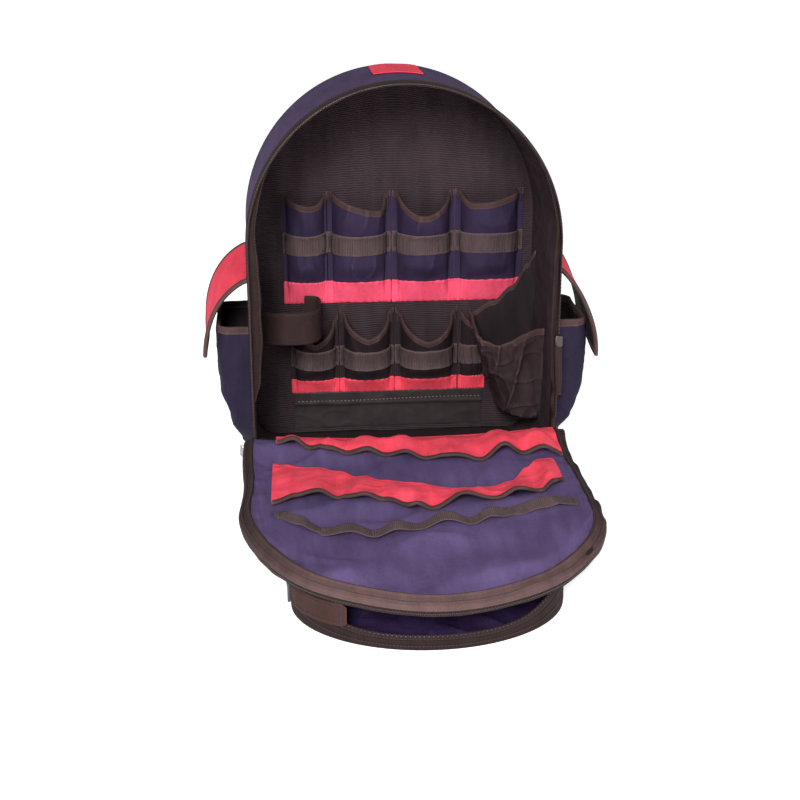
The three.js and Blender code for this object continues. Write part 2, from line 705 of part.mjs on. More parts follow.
for (const { side, sign, frontZ, backZ, reach, drop, bow, hang } of FLAPS) {
  const hem = SIDE_MOUTH_Z - BINDING_W;
  add(`side_pocket_${side}`, sideCloth(sign, SIDE_ROWS, SIDE_FOOT_Z, hem), "navy");
  add(`side_binding_${side}`, sideCloth(sign, [0, 1], hem + CLEAR, SIDE_MOUTH_Z), "tape");
  const middle = (u, v) => {
    const y = lerp(SIDE_FRONT_Y, SIDE_BACK_Y, v);
    const out = FLAP_SEAM + reach * (1 - Math.max(0, 1 - u) ** bow);
    return [sign * (outerSide(y) + out), y, lerp(frontZ, backZ, v) - drop * Math.max(0, u) ** hang];
  };
  add(`side_flap_${side}`, cloth(steps(8), steps(2), middle, FLAP_T), "red");
}

// Door: its panel lies face up in front of the sill, its back edge held up by the hinge cloth.
const DOOR_BACK_Y = -HALF_D - DOOR_GAP;
const DOOR_HALF = DOOR_W / 2;
const DOOR_COLUMNS = steps(14, -1, 1).map((a) => Math.sin((a * Math.PI) / 2));
const hingeZ = (x) => sillTop(x) + CLEAR + CLOTH / 2;
const doorFrontY = (u) => {
  return DOOR_BACK_Y - DOOR_STRAIGHT - (DOOR_L - DOOR_STRAIGHT) * Math.sqrt(Math.max(0, 1 - u * u));
};
const doorZ = (x, y) => lerp(hingeZ(x), DOOR_Z, smooth((DOOR_BACK_Y - y) / HINGE_RUN));

function doorPanel() {
  const surface = (lift) => (u, v) => {
    const x = DOOR_X + u * DOOR_HALF;
    const y = lerp(DOOR_BACK_Y, doorFrontY(u), v);
    return [x, y, doorZ(x, y) + lift];
  };
  const rows = [0, 0.06, 0.13, 0.22, 0.4, 0.7, 1];
  return slab(DOOR_COLUMNS, rows, surface(DOOR_T / 2), surface(-DOOR_T / 2));
}
add("door_panel", doorPanel(), "navy");

// The door's edge from its left back corner round the front to its right back corner,
// as places with the direction that points out of the door.
function doorEdge() {
  const places = [];
  const side = (sign, y) => places.push({ x: DOOR_X + sign * DOOR_HALF, y, outX: sign, outY: 0 });
  const backs = [0, 0.2, 0.45, 0.8].map((share) => DOOR_BACK_Y - share * DOOR_STRAIGHT);
  for (const y of backs) side(-1, y);
  for (const u of DOOR_COLUMNS) {
    const slopeY = -Math.sqrt(Math.max(0, 1 - u * u)) / (DOOR_L - DOOR_STRAIGHT);
    const length = Math.hypot(u / DOOR_HALF, slopeY);
    places.push({
      x: DOOR_X + u * DOOR_HALF, y: doorFrontY(u), outX: u / DOOR_HALF / length, outY: slopeY / length,
    });
  }
  for (const y of [...backs].reverse()) side(1, y);
  return places;
}

// The band's section: share runs across its width, out and drop are shares of BAND_OUT and BAND_DROP.
const BAND_FORM = [
  { share: 0, out: 0, drop: 0 },
  { share: 0.4, out: 0.55, drop: 0.06 },
  { share: 0.75, out: 0.9, drop: 0.42 },
  { share: 1, out: 1, drop: 1 },
];
const DOOR_EDGE = doorEdge();

function bandPoint(i, share, down) {
  const { x, y, outX, outY } = DOOR_EDGE[i];
  const out = CLEAR + BAND_OUT * along(BAND_FORM, "share", "out", share);
  const drop = BAND_DROP * along(BAND_FORM, "share", "drop", share) + down;
  return new THREE.Vector3(x + outX * out, y + outY * out, doorZ(x, y) - drop);
}

// The band's section is offset in its own plane, so its ends stay square.
function doorBand() {
  const turns = [0, 0.12, 0.6, 1.25];
  const surface = (sign) => (i, k) => {
    const { outX, outY } = DOOR_EDGE[i];
    const lean = turns[k];
    const push = (sign * BAND_T) / 2;
    const flat = Math.sin(lean) * push;
    return bandPoint(i, BAND_FORM[k].share, 0)
      .add(new THREE.Vector3(outX * flat, outY * flat, Math.cos(lean) * push))
      .toArray();
  };
  return slab([...DOOR_EDGE.keys()], [0, 1, 2, 3], surface(1), surface(-1));
}
add("door_band", doorBand(), "tape");

function doorCoil() {
  const surface = (sign) => (i, v) => {
    const { outX, outY } = DOOR_EDGE[i];
    const push = (sign * COIL_T) / 2;
    const point = bandPoint(i, 1, BAND_T / 2 + CLEAR + v * DOOR_COIL_W);
    return point.add(new THREE.Vector3(outX * push, outY * push, 0)).toArray();
  };
  return slab([...DOOR_EDGE.keys()], steps(1), surface(1), surface(-1));
}
add("door_zipper", doorCoil(), "tape");

// Hinge cloth folded over the sill's top edge and running out to the door's back edge
function doorHinge() {
  const half = RIM_W / 2 - RIM_TAPE_T - HINGE_END;
  const inside = -HALF_D + WALL + CLEAR + CLOTH / 2;
  const profile = [
    { y: inside, down: HINGE_INSIDE },
    { y: inside, down: HINGE_FOLD },
    { y: inside - HINGE_FOLD, down: 0 },
    { y: DOOR_BACK_Y + CLEAR, down: 0 },
  ];
  const leans = [Math.PI / 2, Math.PI / 4, 0.1, 0];
  const surface = (sign) => (u, k) => {
    const x = lerp(-half, half, u);
    const push = (sign * CLOTH) / 2;
    const { y, down } = profile[k];
    return [x, y + Math.sin(leans[k]) * push, hingeZ(x) - down + Math.cos(leans[k]) * push];
  };
  return slab(steps(10), [0, 1, 2, 3], surface(1), surface(-1));
}
add("door_hinge", doorHinge(), "black");

// Red pocket strips on the door. x is a share of the door's half width, back and front are how far
// the strip's two edges lie from the hinge as shares of the door's length, lift is the mouth's rise.
const DOOR_UPPER = [
  { x: -0.85, back: 0.006, front: 0.05, lift: 0.05 },
  { x: -0.745, back: 0.006, front: 0.054, lift: 0.45 },
  { x: -0.64, back: 0.006, front: 0.07, lift: 0.03 },
  { x: -0.52, back: 0.006, front: 0.098, lift: 0.3 },
  { x: -0.4, back: 0.006, front: 0.115, lift: 0.03 },
  { x: -0.29, back: 0.006, front: 0.13, lift: 0.5 },
  { x: -0.175, back: 0.006, front: 0.137, lift: 0.03 },
  { x: -0.06, back: 0.006, front: 0.16, lift: 0.45 },
  { x: 0.075, back: 0.006, front: 0.175, lift: 0.03 },
  { x: 0.24, back: 0.006, front: 0.19, lift: 0.4 },
  { x: 0.415, back: 0.006, front: 0.195, lift: 0.03 },
  { x: 0.55, back: 0.006, front: 0.19, lift: 1 },
  { x: 0.675, back: 0.006, front: 0.165, lift: 0.03 },
  { x: 0.8, back: 0.006, front: 0.175, lift: 0.8 },
  { x: 0.93, back: 0.006, front: 0.155, lift: 0.05 },
];
const DOOR_LOWER = [
  { x: -0.87, back: 0.14, front: 0.455, lift: 0.05 },
  { x: -0.74, back: 0.165, front: 0.435, lift: 0.35 },
  { x: -0.6, back: 0.18, front: 0.415, lift: 0.5 },
  { x: -0.49, back: 0.205, front: 0.45, lift: 0.03 },
  { x: -0.36, back: 0.26, front: 0.465, lift: 0.35 },
  { x: -0.23, back: 0.315, front: 0.47, lift: 0.03 },
  { x: -0.08, back: 0.355, front: 0.54, lift: 0.5 },
  { x: 0.03, back: 0.375, front: 0.53, lift: 0.03 },
  { x: 0.23, back: 0.375, front: 0.48, lift: 0.5 },
  { x: 0.4, back: 0.365, front: 0.485, lift: 0.03 },
  { x: 0.54, back: 0.33, front: 0.49, lift: 0.5 },
  { x: 0.66, back: 0.265, front: 0.455, lift: 0.03 },
  { x: 0.77, back: 0.2, front: 0.405, lift: 0.4 },
  { x: 0.84, back: 0.19, front: 0.36, lift: 0.05 },
];

// The strip lies on the door at its back edge and rises towards its open front edge.
function doorStrip(rows) {
  const surface = (sign) => (share, v) => {
    const x = share * DOOR_HALF;
    const back = along(rows, "x", "back", share);
    const front = along(rows, "x", "front", share);
    const y = DOOR_BACK_Y - DOOR_L * lerp(back, front, v);
    const lift = DOOR_POCKET_LIFT * along(rows, "x", "lift", share) * Math.sin((v * Math.PI) / 2);
    const rest = doorZ(DOOR_X + x, y) + DOOR_T / 2 + 2 * CLEAR + CLOTH / 2;
    return [DOOR_X + x, y, rest + lift + (sign * CLOTH) / 2];
  };
  const places = rows.flatMap((row, i) => {
    const next = rows[i + 1];
    return next ? [row.x, lerp(row.x, next.x, 0.5)] : [row.x];
  });
  return slab(places, steps(4), surface(1), surface(-1));
}
add("door_pocket_upper", doorStrip(DOOR_UPPER), "red");
add("door_pocket_lower", doorStrip(DOOR_LOWER), "red");

// Elastic across the door, sewn down at its tacks and standing off in loops between them.
// x is a share of the door's half width, down of its length, lift of DOOR_ELASTIC_LIFT.
const DOOR_LOOPS = [
  { x: -0.84, down: 0.525, lift: 0 },
  { x: -0.72, down: 0.575, lift: 0.6 },
  { x: -0.59, down: 0.625, lift: 0 },
  { x: -0.45, down: 0.63, lift: 0.9 },
  { x: -0.32, down: 0.645, lift: 0 },
  { x: -0.19, down: 0.63, lift: 1 },
  { x: -0.06, down: 0.62, lift: 0 },
  { x: 0.075, down: 0.6, lift: 1 },
  { x: 0.21, down: 0.61, lift: 0 },
  { x: 0.34, down: 0.585, lift: 0.9 },
  { x: 0.47, down: 0.56, lift: 0 },
  { x: 0.65, down: 0.53, lift: 0.6 },
  { x: 0.85, down: 0.5, lift: 0 },
];

function doorElastic() {
  const surface = (sign) => (share, v) => {
    const x = DOOR_X + share * DOOR_HALF;
    const y = DOOR_BACK_Y - DOOR_L * along(DOOR_LOOPS, "x", "down", share) + (0.5 - v) * DOOR_ELASTIC_W;
    const lift = DOOR_ELASTIC_LIFT * along(DOOR_LOOPS, "x", "lift", share);
    return [x, y, doorZ(x, y) + DOOR_T / 2 + CLEAR + ELASTIC_T / 2 + lift + (sign * ELASTIC_T) / 2];
  };
  const places = DOOR_LOOPS.flatMap((row, i) => {
    const next = DOOR_LOOPS[i + 1];
    return next ? [row.x, lerp(row.x, next.x, 0.5)] : [row.x];
  });
  return slab(places, steps(1), surface(1), surface(-1));
}
add("door_elastic", doorElastic(), "tape");

// Front pocket: its outer panel lies on the floor, its wall carries the door, its mouth is open.
const POCKET_HALF = POCKET_W / 2;
const POCKET_BACK_Y = -HALF_D - POCKET_BACK;
const POCKET_TURN_Y = -HALF_D - POCKET_STRAIGHT;
const POCKET_COLUMNS = steps(12, -1, 1).map((a) => Math.sin((a * Math.PI) / 2));
const pocketFrontY = (u) => POCKET_TURN_Y - (POCKET_L - POCKET_STRAIGHT) * Math.sqrt(Math.max(0, 1 - u * u));

function pocketPanel() {
  const face = (z) => (u, v) => [POCKET_X + u * POCKET_HALF, lerp(POCKET_BACK_Y, pocketFrontY(u), v), z];
  return slab(POCKET_COLUMNS, steps(2), face(0), face(POCKET_T));
}
add("front_pocket_panel", pocketPanel(), "navy");

// The wall stands along the panel's sides and back, inside its edge.
function pocketWall() {
  const inset = POCKET_T / 2 + 1;
  const half = POCKET_HALF - inset;
  const backY = POCKET_BACK_Y - inset;
  const places = [{ x: -half, y: POCKET_TURN_Y }, { x: -half, y: lerp(POCKET_TURN_Y, backY, 0.5) }];
  for (const turn of steps(4, Math.PI, Math.PI / 2)) {
    places.push({ x: -half + POCKET_R * (1 + Math.cos(turn)), y: backY - POCKET_R * (1 - Math.sin(turn)) });
  }
  const route = [...places, ...places.map(({ x, y }) => ({ x: -x, y })).reverse()];
  const last = route.length - 1;
  const out = (i) => {
    const a = route[Math.max(0, i - 1)];
    const b = route[Math.min(last, i + 1)];
    const length = Math.hypot(b.x - a.x, b.y - a.y);
    return [(a.y - b.y) / length, (b.x - a.x) / length];
  };
  const surface = (sign) => (i, v) => {
    const { x, y } = route[i];
    const [outX, outY] = out(i);
    const push = (sign * CLOTH) / 2 + POCKET_BULGE * Math.sin(Math.PI * v);
    const px = POCKET_X + x + outX * push;
    const py = y + outY * push;
    const top = doorZ(px, py) - DOOR_T / 2 - CLEAR;
    return [px, py, lerp(POCKET_T + CLEAR, top, v)];
  };
  return slab([...route.keys()], steps(3), surface(1), surface(-1));
}
add("front_pocket_wall", pocketWall(), "navy");

// The mouth's zip tape stands along the panel's arched front edge and climbs to the door at its ends.
const RIM_INSET = POCKET_T / 2 + 1;

function rimPlace(u) {
  const half = POCKET_HALF - RIM_INSET;
  const reach = POCKET_L - POCKET_STRAIGHT - RIM_INSET;
  const bow = Math.sqrt(Math.max(0, 1 - u * u));
  const length = Math.hypot(u / half, bow / reach);
  return {
    x: POCKET_X + u * half,
    y: POCKET_TURN_Y - CLEAR - reach * bow,
    outX: u / half / length,
    outY: -bow / reach / length,
  };
}

function pocketRim() {
  const surface = (sign) => (u, v) => {
    const { x, y, outX, outY } = rimPlace(u);
    const climb = Math.abs(u) ** 5;
    const top = lerp(POCKET_RIM_H, DOOR_Z - DOOR_T / 2 - CLEAR, climb);
    const push = (sign * POCKET_T) / 2 - RIM_LEAN * v * (1 - climb);
    return [x + outX * push, y + outY * push, lerp(POCKET_T + CLEAR, top, v)];
  };
  return slab(POCKET_COLUMNS, steps(2), surface(1), surface(-1));
}
add("front_pocket_rim", pocketRim(), "tape");

// Strap end sewn along the left of the pocket's mouth, with its plastic loop
function strapTab() {
  const stand = POCKET_T / 2 + 2 * CLEAR + WEB_T / 2;
  const surface = (sign) => (t, v) => {
    const { x, y, outX, outY } = rimPlace(lerp(TAB_FROM, TAB_TO, t));
    const push = stand + (sign * WEB_T) / 2;
    const narrow = t > 0.9 ? 0.8 : 1;
    const z = TAB_Z + TAB_RISE * t + (v - 0.5) * TAB_W * narrow;
    return [x + outX * push, y + outY * push, z];
  };
  return slab([...steps(6, 0, 0.9), 1], steps(1), surface(1), surface(-1));
}
add("side_tab", strapTab(), "tape");

const rounded = (halfW, halfH, cut) => [
  [-halfW + cut, -halfH], [halfW - cut, -halfH], [halfW, -halfH + cut], [halfW, halfH - cut],
  [halfW - cut, halfH], [-halfW + cut, halfH], [-halfW, halfH - cut], [-halfW, -halfH + cut],
];
const placed = (outline, dx, dz) => outline.map(([x, z]) => [x + dx, z + dz]);

function tabLoop() {
  const { y } = rimPlace(TAB_FROM);
  const x = POCKET_X - POCKET_HALF + 1 - CLEAR - LOOP_T / 2;
  const frame = rounded(LOOP_W / 2, TAB_W / 2 + 2, 1.5);
  const slot = rounded(1.5, TAB_W / 2 - 1.5, 0.3);
  const plate = plateY(frame, LOOP_T / 2, LOOP_T, [slot]);
  plate.rotateZ(Math.PI / 2);
  plate.translate(x, y + LOOP_W / 2 - CLEAR, TAB_Z);
  return plate;
}
add("tab_loop", tabLoop(), "plastic");

// Zip sliders: one at the door's left back corner, one with its cloth pull on the rim's right side
function leftSlider() {
  const tag = rounded(TAG_W / 2, TAG_H / 2, 2);
  const eye = rounded(1.5, 1.5, 0.6);
  const x = DOOR_X - DOOR_HALF - BAND_OUT - CLEAR - COIL_T;
  const outline = placed(tag, x, TAG_Z);
  return plateY(outline, DOOR_BACK_Y + CLEAR + TAG_T, TAG_T, [placed(eye, x, TAG_Z + TAG_H / 2 - 4)]);
}
add("zipper_slider_left", leftSlider(), "metal");

const pullX = RIM_W / 2 - RIM_TAPE_T / 2;
const sliderOutline = placed(rounded(SLIDER_W / 2, SLIDER_H / 2, 1.5), pullX, SLIDER_Z);
add("zipper_slider_right", plateY(sliderOutline, coilFrontY - CLEAR, SLIDER_T), "metal");

function clothPull() {
  const top = SLIDER_Z - SLIDER_H / 2 - CLEAR;
  const front = coilFrontY - CLEAR - PULL_T;
  const surface = (y) => (u, v) => {
    const width = PULL_W * (v > 0.8 ? 0.75 : 1);
    return [pullX + (u - 0.5) * width + PULL_LEAN * v, y, top - v * PULL_L];
  };
  return slab([0, 1], [0, 0.3, 0.6, 0.8, 0.85, 1], surface(front), surface(front + PULL_T));
}
add("zipper_pull", clothPull(), "tape");

export default pack;
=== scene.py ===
import math
from collections import namedtuple
from types import SimpleNamespace as Namespace
import bpy
import numpy as np
from numpy import arange, array, broadcast_to, concatenate as join, cos, cross, full, gradient, hypot
from numpy import maximum, minimum, sin, sqrt, stack, where
from mathutils import Euler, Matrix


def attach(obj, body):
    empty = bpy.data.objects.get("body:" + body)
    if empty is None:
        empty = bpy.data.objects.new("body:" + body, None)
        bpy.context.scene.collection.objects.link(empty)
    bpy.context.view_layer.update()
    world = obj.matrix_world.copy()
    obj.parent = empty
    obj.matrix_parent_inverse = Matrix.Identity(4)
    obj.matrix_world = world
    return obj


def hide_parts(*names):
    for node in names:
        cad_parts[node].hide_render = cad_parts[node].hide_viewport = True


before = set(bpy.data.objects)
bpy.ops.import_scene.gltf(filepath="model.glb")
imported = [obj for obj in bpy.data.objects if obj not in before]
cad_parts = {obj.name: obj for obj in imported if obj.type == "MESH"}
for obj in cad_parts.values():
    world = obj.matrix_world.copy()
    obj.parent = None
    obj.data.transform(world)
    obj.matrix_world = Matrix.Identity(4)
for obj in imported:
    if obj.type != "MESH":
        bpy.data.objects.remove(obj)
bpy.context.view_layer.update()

# A tool backpack standing open, its door lying forward on its front pocket.
# Lengths are in millimetres until a mesh is made. +X is the viewer's right, the door lies towards -Y.
MM = 0.001
PI = math.pi

# Sizes of the body
BACK_W, BACK_H = 380, 490
RIM_W, RIM_H = 366, 480
BODY_D, SPRING_Z, FOOT_R = 200, 295, 30
WALL, BASE_T, BACK_T = 3, 4, 10
PIPING_R, RIM_TAPE_W, RIM_TAPE_T = 2.5, 22, 4
COIL_W, COIL_T, SILL_H = 6, 2.2, 56
CLEAR, CLOTH, BINDING_W, ELASTIC_T = 0.4, 2, 7, 1.5
HALF_D = BODY_D / 2
WALL_Y = HALF_D - BACK_T
TAPE_BACK_Y = -HALF_D + RIM_TAPE_W

# Sizes of the corner pocket, the tool strap, the side pockets and their flaps
CORNER_MOUTH_Z, CORNER_TOP_Z, CORNER_FOOT_Z = 164, 254, 34
CORNER_LEFT, CORNER_LEFT_FOOT, CORNER_BACK_Y = 100, 142, 66
CORNER_DEEP, CORNER_R = 108, 22
STRAP_Z, STRAP_W, STRAP_T = 176, 40, 2.4
SIDE_OUT, SIDE_R = 46, 18
SIDE_FRONT_Y, SIDE_BACK_Y = -80, 50
SIDE_FOOT_Z, SIDE_MOUTH_Z = 38, 200
FLAP_T, FLAP_SEAM, FLAP_ROWS, FLAP_COLUMNS = 3, 0.9, 60, 50

# Sizes of the door
DOOR_X, DOOR_W, DOOR_L, DOOR_STRAIGHT = 4, 376, 388, 165
DOOR_Z, DOOR_T, DOOR_GAP, HINGE_RUN, CORNER_RISE = 52, 4, 4, 70, 8
BAND_OUT, BAND_DROP, DOOR_COIL_W, HEM_WIDENS_Y, HEM_WIDENS_RUN = 9, 7, 4, 240, 150
DOOR_POCKET_LIFT, DOOR_ELASTIC_W, DOOR_ELASTIC_LIFT = 18, 20, 12
DOOR_BACK_Y = -HALF_D - DOOR_GAP
DOOR_HALF = DOOR_W / 2
PANEL_X, PANEL_HALF = DOOR_X - 4.5, DOOR_HALF - 4.5

# Sizes of the front pocket
POCKET_X, POCKET_W, POCKET_BACK, POCKET_L, POCKET_STRAIGHT = -6, 272, 66, 394, 292
POCKET_T, POCKET_R, POCKET_BULGE, RIM_LEAN = 2.6, 34, 5, 2
TAB_W, TAB_Z, TAB_RISE, TAB_FROM, TAB_TO = 22, 24, 4, -0.985, -0.62
MOUTH_H = 13
POCKET_HALF = POCKET_W / 2
POCKET_BACK_Y = -HALF_D - POCKET_BACK
POCKET_TURN_Y = -HALF_D - POCKET_STRAIGHT
SLIDER_Z, SLIDER_H, PULL_W, PULL_L, PULL_T, PULL_LEAN = 181, 14, 7, 60, 2.4, 3

# Sizes of the carrying straps and the haul loop
PAD_W, PAD_T, PAD_END_Z, PAD_TOP_Z, PAD_STAND, PAD_TAPER = 66, 12, 215, 434, 34, 0.72
LOCK_H, WEB_W, WEB_T, WEB_BOW, ANCHOR_IN, ANCHOR_Z = 30, 25, 2, 4, 8, 46
HAUL_W, HAUL_REACH, HAUL_SPAN, HAUL_DOWN, HAUL_SAG, HAUL_SEWN = 22, 24, 100, 26, 8, 0.14
YOKE_W = 60

# Kinds of seam: a stitch's pitch, length, width and height
PLAIN, FINE = (3.4, 2.4, 0.7, 0.5), (3.0, 2.1, 0.5, 0.35)
FIRM, SMALL = (3.2, 2.2, 0.6, 0.4), (2.8, 2.0, 0.5, 0.4)
WIDE, TIGHT = (5.2, 2.3, 1.1, 0.5), (3.2, 2.2, 0.6, 0.6)
# Kinds of zip and bar tack, which end with how far each tooth or thread stands from the line
BODY_ZIP, DOOR_ZIP = (2.1, 2.6, 1.3, 0.9, 0.7), (1.7, 1.6, 1.0, 0.6, 0.3)
MOUTH_ZIP = (2.1, 2.4, 1.3, 0.8, 0.5)
BAR_TACK, LOOP_TACK = (1.1, 3.0, 0.8, 0.6, 0.2), (1.1, 2.0, 0.8, 0.6, 0.1)
# A hem's thickness, half a cloth's, where a hem's edge, its stitches and the cloth in it lie
HEM_T, FACE = 3.8, CLOTH / 2
EDGE_IN, SEAM_UP, CLOTH_TOP = 0.8, FACE + 0.9, 1.5
RIGHT, AHEAD, BEHIND, UP = array([(1.0, 0, 0), (0, -1.0, 0), (0, 1.0, 0), (0, 0, 1.0)])
SEAM_PIPING_R, PAD_PIPING_R, PIPING_SIDES, THIN_SIDES = 1.5, 2.2, 12, 8
SHARP_ANGLE, BEVEL_ANGLE, BEVEL_STEPS = math.radians(62), math.radians(40), 3
# Faces of a part say which of the piece's looks they have; SLOTS holds each look's usual slot
Part = namedtuple("Part", "points faces uvs which")
SLOTS = {}


def steps(n, low=0, high=1):
    return np.linspace(low, high, n)


def lerp(a, b, t):
    return a + (b - a) * t


def clamp01(t):
    return np.clip(t, 0.0, 1.0)


def smooth(t):
    t = clamp01(t)
    return t * t * (3 - 2 * t)


def hump(t, middle, width):
    """A soft bell of height 1 round a place."""
    return np.exp(-(((t - middle) / width) ** 2))


def table(names, rows):
    return {name: array(column, float) for name, column in zip(names.split(), zip(*rows))}


def along(rows, at, value, place):
    """A value read smoothly from a table, between its rows' places."""
    xs, ys = rows[at], rows[value]
    i = np.clip(np.searchsorted(xs, place, side="right") - 1, 0, len(xs) - 2)
    return lerp(ys[i], ys[i + 1], smooth((place - xs[i]) / (xs[i + 1] - xs[i])))


def waves(seed, size, count=8):
    """A smooth field of dents about size mm across, mostly between -1 and 1."""
    rng = np.random.default_rng(seed)
    ways = rng.normal(size=(count, 3))
    ways /= np.linalg.norm(ways, axis=1, keepdims=True)
    turns = ways * (2 * PI / (size * rng.uniform(0.7, 1.7, (count, 1))))
    shifts = rng.uniform(0, 2 * PI, count)
    return lambda p: sin(p @ turns.T + shifts).sum(-1) / math.sqrt(count)


def creases(seed, size):
    """Narrow ridges with wide hollows between them, as crumpled cloth has, from 0 to 1."""
    field = waves(seed, size)
    return lambda p: maximum(0, 1 - 1.6 * abs(field(p))) ** 1.5


def grid(us, vs):
    return np.meshgrid(us, vs, indexing="ij")


def points(x, y, z):
    return stack(np.broadcast_arrays(x, y, z), axis=-1).astype(float)


def unit(v):
    return v / maximum(np.linalg.norm(v, axis=-1, keepdims=True), 1e-9)


def grid_normals(p):
    return unit(cross(gradient(p, axis=0), gradient(p, axis=1)))


def line_way(line):
    return unit(gradient(line, axis=0))


def resample(line, others, pitch):
    """Points every pitch mm along a line, with other rows of vectors read at the same places."""
    run = join([[0], np.cumsum(np.linalg.norm(np.diff(line, axis=0), axis=1))])
    at = arange(pitch / 2, run[-1], pitch)

    def read(rows):
        rows = broadcast_to(rows, line.shape)
        return stack([np.interp(at, run, rows[:, k]) for k in range(3)], axis=1)

    return read(line), [unit(read(rows)) for rows in others]


def arc_uv(p):
    """Places on a grid of points measured along it in metres, so that a weave keeps its real size."""
    du = np.linalg.norm(np.diff(p, axis=0), axis=2)
    dv = np.linalg.norm(np.diff(p, axis=1), axis=2)
    u = join([np.zeros((1, p.shape[1])), np.cumsum(du, axis=0)])
    v = join([np.zeros((p.shape[0], 1)), np.cumsum(dv, axis=1)], axis=1)
    u -= u[len(u) // 2]
    return stack([u, v], axis=-1) * MM


def slab(outer, inner):
    """A closed cloth between two grids of points, with rounded rims."""
    nu, nv = outer.shape[:2]
    ids = arange(nu * nv).reshape(nu, nv)
    quads = stack([ids[:-1, :-1], ids[1:, :-1], ids[1:, 1:], ids[:-1, 1:]], axis=-1).reshape(-1, 4)
    back = quads[:, ::-1] + nu * nv
    loop = join([ids[:, 0], ids[-1, 1:], ids[-2::-1, -1], ids[0, -2:0:-1]])
    near = join([ids[:, 1], ids[-2, 1:], ids[-2::-1, -2], ids[1, -2:0:-1]])
    flat_outer, flat_inner = outer.reshape(-1, 3), inner.reshape(-1, 3)
    middle = (flat_outer + flat_inner) / 2
    thick = np.linalg.norm(flat_outer[loop] - flat_inner[loop], axis=1, keepdims=True)
    rim = middle[loop] + unit(middle[loop] - middle[near]) * thick * 0.35
    first = 2 * nu * nv
    mid = first + arange(len(loop))
    nxt, mid_nxt = np.roll(loop, -1), np.roll(mid, -1)
    rims = join([
        stack([nxt, loop, mid, mid_nxt], axis=1),
        stack([mid_nxt, mid, loop + nu * nv, nxt + nu * nv], axis=1),
    ])
    uv = arc_uv(outer).reshape(-1, 2)
    which = [0] * len(quads) + [1] * len(back) + [2] * len(rims)
    pts = join([flat_outer, flat_inner, rim])
    faces = join([quads, back, rims]).tolist()
    return Part(pts, faces, join([uv, uv, uv[loop]]), which)


def sheet(middle, thick, lift=0.0):
    """A cloth of even thickness about a grid of middle points, lifted along its normals."""
    normals = grid_normals(middle)
    thick = np.asarray(thick, float)[..., None]
    lift = np.asarray(lift, float)[..., None]
    return slab(middle + normals * (lift + thick / 2), middle + normals * (lift - thick / 2))


def loft(rings):
    """A closed tube through rings of points, capped at both ends."""
    n, k = rings.shape[:2]
    ids = arange(n * k).reshape(n, k)
    turn = np.roll(ids, -1, axis=1)
    quads = stack([ids[:-1], turn[:-1], turn[1:], ids[1:]], axis=-1).reshape(-1, 4).tolist()
    ends = [stack([turn[0], ids[0], full(k, n * k)], axis=1)]
    ends.append(stack([ids[-1], turn[-1], full(k, n * k + 1)], axis=1))
    caps = join(ends).tolist()
    pts = join([rings.reshape(-1, 3), [rings[0].mean(0)], [rings[-1].mean(0)]])
    uv = arc_uv(rings).reshape(-1, 2)
    uv = join([uv, uv[:1], uv[-1:]])
    return Part(pts, quads + caps, uv, [0] * (len(quads) + len(caps)))


TAPE_SECTION = [
    (1, 0.5), (0.75, 0.56), (0.45, 0.6), (0.15, 0.52), (-0.05, 0.28), (-0.1, 0),
    (-0.05, -0.28), (0.15, -0.52), (0.45, -0.6), (0.75, -0.56), (1, -0.5),
]


def edge_tape(line, into, normal, width, thick):
    """A tape folded over an edge: into points from the edge into the cloth."""
    rings = [line + into * (a * width) + normal * (b * thick) for a, b in TAPE_SECTION]
    return loft(stack(rings, axis=1))


def rod(line, radius, sides):
    way = line_way(line)
    across = unit(cross(way, BEHIND))
    up = cross(way, across)
    turns = arange(sides) * 2 * PI / sides
    rings = [line + radius * (math.cos(a) * across + math.sin(a) * up) for a in turns]
    return loft(stack(rings, axis=1))


BLOCK_FACES = [[0, 1, 3, 2], [4, 6, 7, 5], [0, 4, 5, 1], [2, 3, 7, 6], [0, 2, 6, 4], [1, 5, 7, 3]]


def blocks(centres, way, normal, long, wide, tall):
    """Many small blocks with narrower tops, such as stitches and teeth, as one part."""
    side = cross(normal, way)
    corners = []
    for top, narrow in ((0, 1), (1, 0.75)):
        for a in (-narrow, narrow):
            for b in (-narrow, narrow):
                corners.append(centres + way * (a * long / 2) + side * (b * wide / 2) + normal * (top * tall))
    n = len(centres)
    faces = (arange(n)[:, None, None] * 8 + array(BLOCK_FACES)[None]).reshape(-1, 4)
    return Part(stack(corners, axis=1).reshape(-1, 3), faces.tolist(), np.zeros((n * 8, 2)), [0] * len(faces))


def stitches(line, normal, kind=PLAIN):
    centres, (normals,) = resample(line, [normal], kind[0])
    return blocks(centres, line_way(centres), normals, *kind[1:])


def teeth(line, across, normal, kind=BODY_ZIP):
    """Zip teeth or a bar tack's threads on both sides of a line, by turns."""
    pitch, long, wide, tall, stagger = kind
    centres, (sides, normals) = resample(line, [across, normal], pitch)
    turn = where(arange(len(centres)) % 2, 1.0, -1.0)[:, None]
    return blocks(centres + sides * turn * stagger, sides, normals, long, wide, tall)


def cloth_normal(point, u, z, du, dz):
    """Directions out of a surface point(u, z), from steps of du and dz to both sides."""
    along_u = point(clamp01(u + du), z) - point(clamp01(u - du), z)
    return unit(cross(along_u, point(u, z + dz) - point(u, z - dz)))


def shell(cloth, s, z, outer, inner):
    """A closed cloth between two lifts of a surface that gives points and normals."""
    return slab(cloth(s, z, outer)[0], cloth(s, z, inner)[0])


def hem(cloth, s, lip, width, thick, down):
    """The binding on a surface's upper edge and its row of stitches, down mm below the edge."""
    edge, normal = cloth(s, lip - EDGE_IN, 0)
    below, _ = cloth(s, lip - EDGE_IN - 1, 0)
    trim = edge_tape(edge, unit(below - edge), normal, width, thick)
    return trim, stitches(*cloth(s, lip - down, SEAM_UP), FINE)


